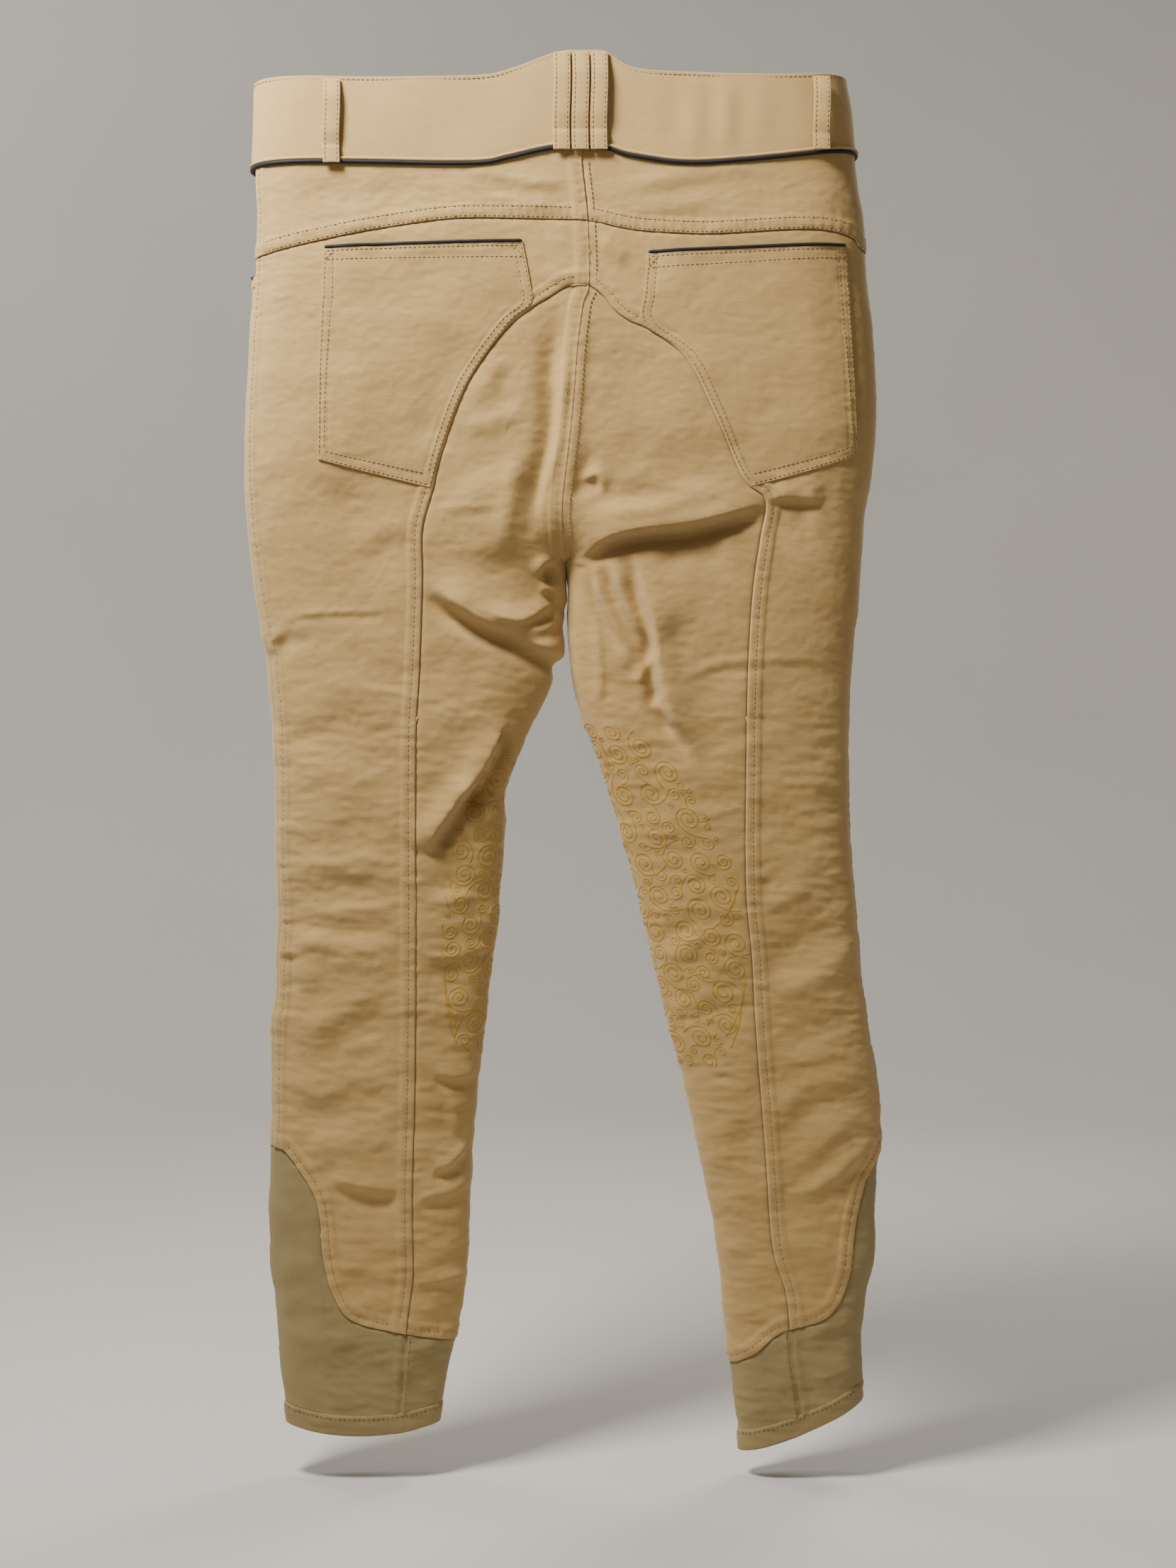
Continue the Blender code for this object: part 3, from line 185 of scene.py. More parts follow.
# Folds: millimetres of height, soft width, sharp width and valley, then whether each end
# fades, and the line. The soft side lies to the left of the line's way.
BACK_FOLDS = (
    ((9, 16, 3.6, 8), path(128, 3308, 240, 3238, 388, 3143, 624, 3093, 919, 3060, 1214, 2990,
     1539, 2883)),
    ((2.6, 8, 6, 0.8), path(166, 3013, 388, 2978, 683, 2936, 978, 2872, 1362, 2812)),
    ((1.3, 7, 5, 0.8), path(388, 2807, 683, 2777, 978, 2801, 1273, 2762)),
    ((2, 4, 2.5, 1.5), path(175, 2753, 293, 2709, 341, 2753, 367, 2851)),
    ((0.9, 6, 5, 0.4), path(403, 2777, 565, 2718, 713, 2659)),
    ((-5, 7, 9), path(93, 1478, 10, 1744, -25, 2039, -8, 2305, -49, 2570, -120, 2836, -155, 3072,
     -114, 3279)),
    ((3, 4, 4), path(93, 1773, 69, 2128, 19, 2511, -61, 2807, -90, 3072)),
    ((1.6, 5, 5), path(228, 1419, 199, 1832, 158, 2275, 110, 2718, 78, 3131)),
    ((-2, 6, 6), path(305, 2482, 240, 2629, 205, 2777, 181, 2925)),
    ((4.5, 26, 26), path(-616, 2659, -498, 2895, -380, 3131, -350, 3397)),
    ((2.6, 8, 8), path(-232, 2482, -285, 2748, -335, 3013, -350, 3308)),
    ((7, 15, 4, 6, 1, 0), path(-887, 3450, -704, 3604, -498, 3728, -291, 3816, -129, 3899, 22,
     3970)),
    ((3.5, 8, 3.5, 3), path(-498, 3663, -262, 3728, -85, 3648, 69, 3539)),
    ((2, 5, 3, 2.5), path(-380, 3751, -203, 3798, -25, 3751, 93, 3604)),
    ((4.5, 6, 3, 5, 1, 0), path(-138, 3432, -70, 3326, 51, 3291, 110, 3308)),
    ((3.5, 5, 2.5, 3, 1, 0), path(-120, 3521, -25, 3509, 63, 3580, 110, 3530)),
    ((-4.5, 5, 5, 0, 1, 0), path(-85, 3421, -11, 3412, 69, 3373)),
    ((5.5, 12, 3.5, 5), path(500, 3155, 600, 3332, 653, 3545, 718, 3751, 742, 3934, 766, 4150,
     845, 4401, 963, 4578, 1082, 4770)),
    ((3.6, 6, 3.5, 4), path(394, 3279, 476, 3515, 594, 3751, 724, 3952)),
    ((2.6, 5, 3, 3), path(276, 3344, 323, 3515, 432, 3751, 571, 3973)),
    ((2.2, 4, 4, 1.5), path(748, 3943, 671, 4046, 580, 4194)),
    ((2.2, 4, 3, 2), path(807, 4238, 742, 4327, 831, 4430, 913, 4489)),
    ((1.6, 3, 5, 0.6), path(264, 3663, 323, 3899, 335, 4194, 293, 4401)),
    ((-4, 18, 18), path(-1575, 2629, -1398, 2984, -1221, 3249, -1000, 3353)),
    ((2.2, 10, 10), path(-1413, 3279, -1265, 3131, -1088, 3096, -970, 3131)),
    ((0.8, 3, 2, 0.4), path(-1959, 3757, -1738, 3686, -1413, 3674, -1088, 3663)),
    ((1.5, 4, 4, 1.2, 0, 1), path(-2092, 3781, -2021, 3914, -1915, 3751)),
    ((-1, 5, 5, 0, 0, 1), path(-2003, 3914, -1856, 3869, -1679, 3899)),
    ((3.2, 14, 2.5, 2.6), path(1524, 2860, 1716, 2866, 1935, 2886)),
    ((-3, 16, 16), path(1480, 3131, 1657, 3072, 1864, 3013)),
    ((-4, 16, 16), path(683, 3279, 978, 3220, 1273, 3161)),
    ((0.9, 4, 3, 0.5), path(816, 4200, 1096, 4061, 1391, 4017, 1982, 3993)),
    ((2, 18, 14), path(978, 3131, 860, 3486, 831, 3899)),
    ((5, 10, 3.5, 5, 1, 0), path(-690, 5050, -572, 4888, -415, 4613)),
    ((6, 11, 3.5, 6), path(-933, 5401, -827, 5226, -671, 4991, -535, 4789)),
    ((-1.6, 22, 22), path(-882, 3899, -734, 4076, -439, 4194)),
    ((1.5, 8, 8), path(-616, 2128, -439, 2039, -350, 1832)),
    ((1.6, 7, 7), path(-675, 2334, -498, 2364, -321, 2305, -232, 2364)),
    ((-1.8, 7, 7), path(-380, 1921, -350, 2128, -232, 2246)),
    ((0.7, 3, 3, 0.3), path(-858, 2960, -675, 2936, -350, 2925)),
    ((1.2, 16, 16), path(565, 2541, 801, 2423, 1067, 2364)),
    ((-1.2, 20, 20), path(388, 2128, 565, 1980, 683, 1773)),
    ((1.8, 7, 5, 0.6), path(-646, 510, -312, 622, -34, 655, 161, 622)),
    ((1.2, 6, 5, 0.5), path(-535, 722, -201, 789, 133, 789)),
    ((-0.9, 9, 9), path(-1870, 655, -1425, 733, -813, 699)),
    ((1.8, 8, 6, 0.5), path(300, 722, 634, 655, 1079, 566, 1635, 521)),
    ((1.1, 7, 6, 0.4), path(356, 789, 745, 822, 1246, 755)),
    ((1.8, 6, 5, 0.8), path(322, 1011, 411, 1122, 522, 1222)),
    ((1.2, 6, 5, 0.6), path(-90, 1250, 50, 1311, 216, 1289)),
    ((-1.6, 22, 22), path(-590, 1667, -813, 2112, -952, 2613)),
    ((1.4, 26, 26), path(856, 1779, 1079, 2224, 1301, 2558)),
    ((1.2, 8, 8), path(-1967, 5413, -1605, 5461, -1274, 5455, -1078, 5401)),
    ((-1, 9, 9), path(-1967, 5633, -1666, 5666, -1304, 5636, -1075, 5654)),
    ((-1.7, 6, 6), path(-1913, 5896, -1545, 5926, -1274, 5920, -1075, 5974)),
    ((1.3, 7, 6), path(-1931, 6022, -1636, 6028, -1364, 6071, -1075, 6077)),
    ((0.9, 4, 4, 0.3), path(-1877, 5784, -1575, 5805, -1274, 5769, -1075, 5805)),
    ((0.9, 5, 5, 0.4), path(-1666, 6137, -1364, 6173, -1075, 6161)),
    ((-1.9, 5, 7), path(-1901, 6071, -1865, 6252, -1829, 6417)),
    ((1.4, 9, 8, 0.3), path(-1771, 6710, -1545, 6499, -1274, 6342, -1075, 6252)),
    ((-1, 9, 9), path(-1726, 6855, -1394, 6620, -1093, 6481)),
    ((1.3, 8, 7, 0.4), path(-1937, 7030, -1666, 7096, -1364, 6975, -1087, 6945)),
    ((-1, 12, 12), path(-1907, 7247, -1605, 7277, -1304, 7187, -1087, 7126)),
    ((0.9, 10, 10), path(-1817, 7428, -1545, 7398, -1274, 7428, -1087, 7307)),
    ((2.4, 8, 4, 1.8), path(-1599, 7693, -1394, 7735, -1228, 7772, -1075, 7744)),
    ((-1.2, 9, 9), path(-1636, 7835, -1364, 7880, -1075, 7820)),
    ((1.4, 7, 6, 0.5), path(-1599, 8278, -1334, 8351, -1063, 8399)),
    ((0.9, 9, 9), path(-1944, 4224, -1620, 4194, -1295, 4224, -1088, 4164)),
    ((-1, 10, 10), path(-1944, 4548, -1590, 4578, -1295, 4519, -1088, 4548)),
    ((0.9, 9, 9), path(-1944, 4784, -1590, 4829, -1088, 4873)),
    ((1.8, 5, 3, 1.4, 1, 0), path(-851, 6921, -731, 6960, -604, 6957)),
    ((1.3, 4, 4, 0.8), path(-785, 7096, -716, 7187, -677, 7428)),
    ((2.2, 5, 3, 1.8, 1, 0), path(-876, 7615, -761, 7603, -658, 7512)),
    ((1.6, 5, 4, 1, 1, 0), path(-990, 7832, -821, 7808, -664, 7754)),
    ((1.6, 5, 4, 0.8, 1, 0), path(-1008, 8453, -851, 8417, -664, 8405)),
    ((1.5, 5, 4, 0.8, 1, 0), path(-942, 6137, -761, 6119, -520, 6077)),
    ((0.9, 5, 5, 0.3), path(-972, 5757, -821, 5727, -490, 5660)),
    ((1.2, 10, 8), path(-1967, 8272, -1786, 8315, -1621, 8321)),
    ((1.2, 8, 7, 0.3), path(-1949, 8821, -1605, 8845, -1274, 8827, -1105, 8863)),
    ((-1.3, 9, 9), path(-1937, 9087, -1605, 9062, -1274, 9093, -1123, 9165)),
    ((1.4, 6, 4, 0.6), path(-1063, 8966, -942, 8906, -821, 8888)),
    ((1.7, 6, 4, 0.7), path(1441, 5757, 1591, 5727, 1833, 5636)),
    ((1, 7, 6), path(1441, 5666, 1652, 5606, 1923, 5467)),
    ((-1.5, 12, 12), path(1471, 6197, 1742, 6071, 2044, 5878)),
    ((1.3, 10, 9), path(1471, 6342, 1712, 6360, 1953, 6221, 2165, 6071)),
    ((-1.4, 10, 10), path(1501, 6692, 1742, 6710, 2014, 6583, 2225, 6644)),
    ((1.4, 10, 9), path(1537, 6945, 1772, 6825, 2074, 6794, 2255, 6855)),
    ((1.6, 9, 8, 0.4), path(1537, 7253, 1742, 7096, 2014, 6975, 2255, 6945)),
    ((-1.3, 9, 9), path(1576, 7398, 1803, 7247, 2074, 7126, 2270, 7096)),
    ((1.8, 8, 6, 0.6), path(1622, 7615, 1833, 7518, 2044, 7337, 2285, 7202)),
    ((2.2, 8, 5, 1), path(1652, 7820, 1893, 7744, 2104, 7579, 2291, 7428)),
    ((1.2, 10, 9), path(1622, 8031, 1803, 8182, 2014, 8302)),
    ((-1.2, 9, 9), path(1893, 7910, 1984, 8031, 2074, 8212)),
    ((1.3, 16, 16), path(1079, 7126, 1260, 7609, 1471, 8061)),
    ((-1.2, 10, 10), path(1290, 7187, 1411, 7609, 1537, 7910)),
    ((1.3, 8, 8), path(747, 6191, 928, 6071, 1109, 5950)),
    ((-1.2, 7, 7), path(717, 5980, 898, 5920, 1049, 5829)),
    ((1.2, 7, 7), path(807, 6523, 988, 6433, 1169, 6342)),
    ((1.3, 7, 6, 0.4), path(1778, 8912, 1869, 8791, 2014, 8713)),
    ((1.2, 8, 7, 0.3), path(1821, 9153, 2014, 9087, 2195, 9026)),
    ((1, 9, 9), path(1320, 9237, 1531, 9177, 1742, 9056)),
)
FRONT_FOLDS = (
    ((2.5, 12, 8, 1), path(-1500, 2150, -900, 2450, -200, 2750)),
    ((2.5, 8, 12, 1), path(1600, 2050, 1000, 2400, 300, 2800)),
    ((3, 10, 6, 2), path(-1200, 2850, -700, 3100, -100, 3250)),
    ((3, 6, 10, 2), path(1400, 2750, 800, 3050, 250, 3250)),
    ((2, 9, 6, 1), path(-1500, 3400, -800, 3450, -200, 3380)),
    ((2, 9, 6, 1), path(1700, 3350, 1000, 3450, 350, 3400)),
    ((1.4, 12, 10), path(-1800, 4200, -1200, 4400, -600, 4300)),
    ((1.4, 12, 10), path(700, 4200, 1300, 4400, 1900, 4250)),
    ((2.2, 8, 6, 1), path(-1900, 5600, -1200, 5750, -500, 5600)),
    ((1.8, 8, 6, 0.8), path(-1900, 5900, -1200, 6000, -550, 5920)),
    ((2.2, 8, 6, 1), path(700, 5650, 1400, 5780, 2050, 5600)),
    ((1.8, 8, 6, 0.8), path(750, 5980, 1400, 6060, 2100, 5900)),
    ((1.4, 11, 9), path(-1900, 7000, -1300, 7200, -700, 7050)),
    ((1.4, 11, 9), path(1100, 7050, 1600, 7220, 2200, 7000)),
    ((1.6, 8, 6, 0.6), path(-1500, 8000, -1100, 8120, -750, 8000)),
    ((1.6, 8, 6, 0.6), path(1300, 8050, 1700, 8150, 2050, 8000)),
    ((1.2, 7, 6, 0.4), path(-1800, 8800, -1300, 8900, -900, 8800)),
    ((1.2, 7, 6, 0.4), path(1400, 8850, 1800, 8950, 2100, 8850)),
)

# Curves and the tube-shaped cloth


def smooth(points, per_span=6):
    """A Catmull-Rom curve through points, as an array of closer points."""
    run = np.array(points, float)
    run = np.vstack([2 * run[0] - run[1], run, 2 * run[-1] - run[-2]])
    made = []
    for before, a, b, after in zip(run, run[1:], run[2:], run[3:]):
        for t in np.arange(per_span) / per_span:
            made.append(0.5 * (2 * a + (b - before) * t
                               + (2 * before - 5 * a + 4 * b - after) * t**2
                               + (3 * a - before - 3 * b + after) * t**3))
    made.append(run[-2])
    return np.array(made)


def by_height(points, known=1):
    """x as a function of the height, from (x, z) points."""
    run = smooth(points)
    run = run[np.argsort(run[:, known])]
    return lambda value: np.interp(value, run[:, known], run[:, 1 - known])


def by_x(points):
    """Height as a function of x, from (x, z) points."""
    return by_height(points, known=0)


def metres_along(points, axis=0):
    """How far each point is along its line, from the line's first point."""
    run = np.cumsum(np.linalg.norm(np.diff(points, axis=axis), axis=-1), axis=axis)
    return np.concatenate([0 * np.take(run, [0], axis=axis), run], axis=axis)


def follow(values, stations, at):
    """Rows of values between stations."""
    columns = [np.interp(at, stations, values[:, k]) for k in range(values.shape[1])]
    return np.stack(columns, axis=-1)


def bilinear(grid, column, row):
    """Values between the points of a grid."""
    column = np.clip(column, 0, grid.shape[1] - 1.001)
    row = np.clip(row, 0, grid.shape[0] - 1.001)
    i, j = column.astype(int), row.astype(int)
    s, t = column - i, row - j
    if grid.ndim == 3:
        s, t = s[:, None], t[:, None]
    return ((1 - t) * ((1 - s) * grid[j, i] + s * grid[j, i + 1])
            + t * ((1 - s) * grid[j + 1, i] + s * grid[j + 1, i + 1]))


def ramp(value, low, high):
    t = np.clip((value - low) / (high - low), 0.0, 1.0)
    return t * t * (3 - 2 * t)


outer_x = {side: by_height(OUTER[side]) for side in SIDES}
leg_inner_x = {side: by_height(INNER[side]) for side in SIDES}
centre_x = by_height(CENTRE_SEAM)
band_top_z = by_x(BAND_TOP)
band_bottom_z = by_x(BAND_BOTTOM)
yoke_z = by_x(YOKE_SEAM)


def front_middle_x(z):
    return FLY_X + 0.002 * ramp(-z, 0.25, 0.33)


def inner_x(side, z, back):
    """The x where a side's tube ends inwards: the middle line above the crotch, its fold below."""
    middle = np.where(back, centre_x(z), front_middle_x(z))
    return np.where(z > CROTCH_Z, middle, leg_inner_x[side](z))


def rounded(t, power):
    return np.sqrt(np.clip(1 - (1 - np.clip(t, 0.0, 1.0)) ** power, 0.0, 1.0))


def place_in_tube(side, angle, z):
    """A place's outer fold, signed width, share of it, distance from the inner end, and face."""
    back = np.sin(angle) > -1e-9
    outer = outer_x[side](z)
    width = inner_x(side, z, back) - outer
    share = (1 - np.cos(angle)) / 2
    above = np.clip(z - CROTCH_Z, 0.0, None)
    near = np.hypot((1 - share) * width, 1.2 * above)
    return outer, width, share, near, back


def skin(side, angle, z):
    """The plain tube's points at angles and heights."""
    angle, z = np.broadcast_arrays(np.asarray(angle, float), np.asarray(z, float))
    outer, width, share, near, back = place_in_tube(side, angle, z)
    x = outer + width * share
    width = np.abs(width)
    leg = ramp(-z, 0.25, 0.40)
    fold_radius = 0.10 * (1 - leg) + width / 2 * leg
    inner_radius = 0.05 * (1 - leg) + width / 2 * leg
    depth = np.interp(-z, -HALF_DEPTH[:, 1], HALF_DEPTH[:, 0])
    y = depth * rounded(share * width / fold_radius, 4.5 - 1.5 * leg)
    y = y * rounded(near / inner_radius, 3.0)
    return np.stack([x, np.where(back, -y, y), z], axis=-1)


def off_middle(angle, z):
    """The angle kept clear of the middle line above the crotch, where back and front part."""
    away = np.mod(angle, TURN) - math.pi
    kept = np.where(away > 0, 1.0, -1.0) * np.maximum(np.abs(away), 0.05)
    return np.where(z > CROTCH_Z - 0.002, kept + math.pi, angle)


def normal(side, angle, z):
    angle, z = np.broadcast_arrays(np.asarray(angle, float), np.asarray(z, float))
    angle = off_middle(angle, z)
    step, rise = 2e-3, 1e-3
    along = skin(side, angle + step, z) - skin(side, angle - step, z)
    up = skin(side, angle, z + rise) - skin(side, angle, z - rise)
    made = np.cross(along, up)
    made /= np.linalg.norm(made, axis=-1, keepdims=True)
    return made if side == "left" else -made


def angle_at(side, x, z, face="back"):
    x, z = np.asarray(x, float), np.asarray(z, float)
    back = face == "back"
    outer = outer_x[side](z)
    share = np.clip((x - outer) / (inner_x(side, z, back) - outer), 0.0, 1.0 if back else 0.9999)
    angle = np.arccos(1 - 2 * share)
    return angle if back else TURN - angle


# Folds


def own_leg(x, z, on_left):
    """Below the crotch, a fold of one leg leaves the other leg as it is."""
    middle = (leg_inner_x["left"](z) + leg_inner_x["right"](z)) / 2
    other = x > middle if on_left else x < middle
    return 1.0 - other * ramp(CROTCH_Z - z, 0.0, 0.015)


class Relief:
    """Heights of folds over the (x, z) plane, on a grid."""

    LOW = (-0.25, -1.0)
    STEP = 0.001
    COUNT = (1060, 510)

    def __init__(self, seed):
        self.xs = self.LOW[0] + self.STEP * np.arange(self.COUNT[1])
        self.zs = self.LOW[1] + self.STEP * np.arange(self.COUNT[0])
        self.height = np.zeros(self.COUNT)
        self.random = np.random.default_rng(seed)

    def noise(self, length_x, length_z):
        white = np.fft.rfft2(self.random.standard_normal(self.COUNT))
        kz = np.fft.fftfreq(self.COUNT[0], self.STEP)[:, None]
        kx = np.fft.rfftfreq(self.COUNT[1], self.STEP)[None, :]
        keep = np.exp(-2 * ((kx * length_x) ** 2 + (kz * length_z) ** 2))
        made = np.fft.irfft2(white * keep, self.COUNT)
        return made / made.std()

    def add(self, points, height, soft, sharp, valley=0.0, fade_first=1, fade_last=1):
        """A fold along points, soft on the left of its way and sharp on the right."""
        run = smooth(points)
        soft, sharp = soft * MM, sharp * MM
        reach = 3.0 * max(soft, sharp, 2.2 * sharp)
        low, high = run.min(0) - reach, run.max(0) + reach
        columns = np.flatnonzero((self.xs > low[0]) & (self.xs < high[0]))
        rows = np.flatnonzero((self.zs > low[1]) & (self.zs < high[1]))
        x, z = np.meshgrid(self.xs[columns], self.zs[rows])
        starts = metres_along(run)
        best, signed, along = np.full(x.shape, np.inf), np.zeros_like(x), np.zeros_like(x)
        for a, b, start, end in zip(run, run[1:], starts, starts[1:]):
            length = end - start
            way = (b - a) / length
            t = np.clip((x - a[0]) * way[0] + (z - a[1]) * way[1], 0.0, length)
            dx, dz = x - a[0] - way[0] * t, z - a[1] - way[1] * t
            away = np.hypot(dx, dz)
            closer = away < best
            best = np.where(closer, away, best)
            side = np.where(way[0] * (z - a[1]) - way[1] * (x - a[0]) >= 0, 1.0, -1.0)
            signed = np.where(closer, away * side, signed)
            along = np.where(closer, start + t, along)
        along /= starts[-1]
        fade = own_leg(x, z, on_left=run[0, 0] < 0)
        if fade_first:
            fade *= ramp(along, 0.0, 0.3)
        if fade_last:
            fade *= ramp(1 - along, 0.0, 0.3)
        wide = np.where(signed > 0, soft, sharp)
        rise = height * MM * np.exp(-((signed / wide) ** 2))
        dip = np.exp(-(((signed + 2.2 * sharp) / (1.5 * sharp)) ** 2))
        rise -= valley * MM * dip * (signed < 0)
        self.height[np.ix_(rows, columns)] += rise * fade

    def at(self, x, z):
        """The height at points, by bilinear interpolation."""
        column, row = (x - self.LOW[0]) / self.STEP, (z - self.LOW[1]) / self.STEP
        return bilinear(self.height, column, row)


def make_relief(seed, folds):
    relief = Relief(seed)
    for sizes, points in folds:
        relief.add(points, *sizes)
    z = relief.zs[:, None]
    on_legs = ramp(-z, 0.36, 0.48)
    relief.height += 0.55 * MM * relief.noise(0.030, 0.024) * (0.55 + 0.45 * on_legs)
    relief.height += 0.22 * MM * relief.noise(0.016, 0.005) * (0.25 + 0.75 * on_legs)
    relief.height += 0.10 * MM * relief.noise(0.006, 0.0035)
    return relief


back_relief = make_relief(11, BACK_FOLDS)
front_relief = make_relief(12, FRONT_FOLDS)


def fold_height(side, angle, z, spots):
    _, width, share, near, back = place_in_tube(side, angle, z)
    own = 0.5 + 0.5 * ramp(share * np.abs(width), 0.0, 0.012) * ramp(near, 0.0, 0.012)
    behind = back_relief.at(spots[..., 0], z)
    before = front_relief.at(spots[..., 0], z)
    calm = 0.25 + 0.75 * ramp(-z, 0.035, 0.075)
    at_crotch = np.exp(-(((z - CROTCH_Z + 0.008) / 0.028) ** 2))
    calm = calm * (1 - 0.92 * (at_crotch * (1 - ramp(near, 0.004, 0.020))))
    return np.where(back, own * behind + (1 - own) * before,
                    own * before + (1 - own) * behind) * calm


def cloth_at(side, angle, z, lift=0.0):
    """Points of the folded cloth, raised by lift."""
    angle, z = np.broadcast_arrays(np.asarray(angle, float), np.asarray(z, float))
    spots = skin(side, angle, z)
    rise = fold_height(side, angle, z, spots) + lift
    return spots + normal(side, angle, z) * rise[..., None]


# Lines on the cloth


class Run:
    """A line of (angle, z) places on one side's tube, run along from 0 to 1 by its length."""

    def __init__(self, side, places, stations=None):
        self.side = side
        self.places = np.array(places, float)
        self.spots = skin(side, self.places[:, 0], self.places[:, 1])
        self.metres = metres_along(self.spots)
        self.length = self.metres[-1]
        self.stations = self.metres / self.length if stations is None else stations

    def at(self, t):
        return follow(self.places, self.stations, t)

    def nearest(self, spots, reach=0.016):
        """Distance of points from the line and how far along it they are, up to a reach."""
        flat = spots.reshape(-1, 3)
        best = np.full(len(flat), 1.0)
        along = np.zeros(len(flat))
        for first in range(0, len(self.spots) - 1, 6):
            self.nearest_of(first, flat, best, along, reach)
        return best.reshape(spots.shape[:-1]), along.reshape(spots.shape[:-1])

    def nearest_of(self, first, flat, best, along, reach, count=6):
        """Takes in a few of the line's segments, for the points close to them."""
        ends = self.spots[first:first + count + 1]
        low, high = ends.min(0) - reach, ends.max(0) + reach
        close = np.flatnonzero(((flat > low) & (flat < high)).all(1))
        points = flat[close]
        near, run = best[close], along[close]
        for a, b, start in zip(ends, ends[1:], self.metres[first:]):
            way = b - a
            length = np.linalg.norm(way)
            if length < 1e-9:
                continue
            t = np.clip((points - a) @ way / length**2, 0.0, 1.0)
            away = np.linalg.norm(points - a - t[:, None] * way, axis=1)
            closer = away < near
            near = np.where(closer, away, near)
            run = np.where(closer, start + t * length, run)
        best[close], along[close] = near, run


def beside(run, distance):
    """The line moved sideways on its tube, to the left of its way as seen from outside."""
    angle, z = run.places.T
    ways = np.gradient(run.spots, axis=0)
    ways /= np.linalg.norm(ways, axis=1, keepdims=True) + 1e-12
    aside = np.cross(normal(run.side, angle, z), ways) * distance
    step, rise = 1e-3, 1e-3
    safe = off_middle(angle, z)
    by_angle = (skin(run.side, safe + step, z) - skin(run.side, safe - step, z)) / (2 * step)
    by_rise = (skin(run.side, safe, z + rise) - skin(run.side, safe, z - rise)) / (2 * rise)
    aa, ar, rr = (by_angle**2).sum(1), (by_angle * by_rise).sum(1), (by_rise**2).sum(1)
    a, r = (by_angle * aside).sum(1), (by_rise * aside).sum(1)
    scale = aa * rr - ar**2 + 1e-12
    turn = np.clip((a * rr - r * ar) / scale, -0.3, 0.3)
    return Run(run.side, np.stack([angle + turn, z + (r * aa - a * ar) / scale], axis=1))


def back_run(side, points):
    run = smooth(points)
    return np.stack([angle_at(side, run[:, 0], run[:, 1]), run[:, 1]], axis=1)


def cut(run, low=None, high=None):
    """The stretch of a run of places that falls from one height to another."""
    run = np.array(run, float)
    if run[0, 1] < run[-1, 1]:
        run = run[::-1]
    top = run[0, 1] if high is None else high
    bottom = run[-1, 1] if low is None else low
    inside = run[(run[:, 1] < top - 1e-6) & (run[:, 1] > bottom + 1e-6)]
    ends = [(np.interp(-z, -run[:, 1], run[:, 0]), z) for z in (top, bottom)]
    return np.vstack([ends[0], inside, ends[1]])


def straight(first, last, count=24):
    """Places in a straight run between two (angle, z) ends."""
    return np.linspace(first, last, count)


def level(first, last, z, count=24):
    return straight((first, z), (last, z), count)


# Panels

NEAR = np.array([0.0, 0.3, 0.7, 1.2, 1.9, 2.8, 3.9, 5.2, 6.5, 8.0, 9.6]) * MM
TUCK = 0.0026
LAP_STEP = 0.0015
LAP_SINK = 0.00002


def spread(length, count, close_first, close_last):
    """Distances along a line: some near its sewn ends, and the others even between them."""
    near = NEAR * min(1.0, 0.3 * length / NEAR[-1])
    first = near if close_first else np.array([0.0])
    last = length - near[::-1] if close_last else np.array([length])
    return np.concatenate([first, np.linspace(first[-1], last[0], count + 1)[1:-1], last])


def coons(runs, u, v):
    """Places of a Coons patch whose four sides are runs, where v goes down."""
    top, bottom, left, right = runs
    u, v = u[..., None], v[..., None]
    corners = top.at(0.0), top.at(1.0), bottom.at(0.0), bottom.at(1.0)
    ruled = ((1 - v) * top.at(u[..., 0]) + v * bottom.at(u[..., 0])
             + (1 - u) * left.at(v[..., 0]) + u * right.at(v[..., 0]))
    flat = ((1 - u) * (1 - v) * corners[0] + u * (1 - v) * corners[1]
            + (1 - u) * v * corners[2] + u * v * corners[3])
    return ruled - flat


def patch_places(side, top, bottom, left, right, step, close):
    """A grid of places over a patch, close together along the sides named in close."""
    runs = [s if isinstance(s, Run) else Run(side, s) for s in (top, bottom, left, right)]
    tall = (runs[2].length + runs[3].length) / 2
    rows = spread(tall, math.ceil(tall / step), "top" in close, "bottom" in close) / tall
    fine = np.linspace(0.0, 1.0, 161)
    v = np.repeat(rows[:, None], len(fine), axis=1)
    places = coons(runs, np.repeat(fine[None, :], len(rows), axis=0), v)
    spots = skin(side, places[..., 0], places[..., 1])
    metres = metres_along(spots, axis=1)
    count = max(2, math.ceil(metres[:, -1].max() / step))
    u = np.array([np.interp(spread(run[-1], count, "left" in close, "right" in close), run, fine)
                  for run in metres])
    return coons(runs, u, np.repeat(rows[:, None], u.shape[1], axis=1))


def tucked(side, places, edge):
    """The grid with one more row or column that goes on under the neighbour's edge."""
    turn = edge in ("top", "bottom")
    grid = places.transpose(1, 0, 2) if turn else places
    back_end = edge in ("right", "bottom")
    grid = grid[:, ::-1] if back_end else grid
    border, inside = grid[:, 0], grid[:, 5]
    gap = skin(side, border[:, 0], border[:, 1]) - skin(side, inside[:, 0], inside[:, 1])
    far = np.maximum(np.linalg.norm(gap, axis=1), 0.3 * MM)[:, None]
    grid = np.concatenate([(border + (border - inside) * TUCK / far)[:, None], grid], axis=1)
    grid = grid[:, ::-1] if back_end else grid
    return grid.transpose(1, 0, 2) if turn else grid


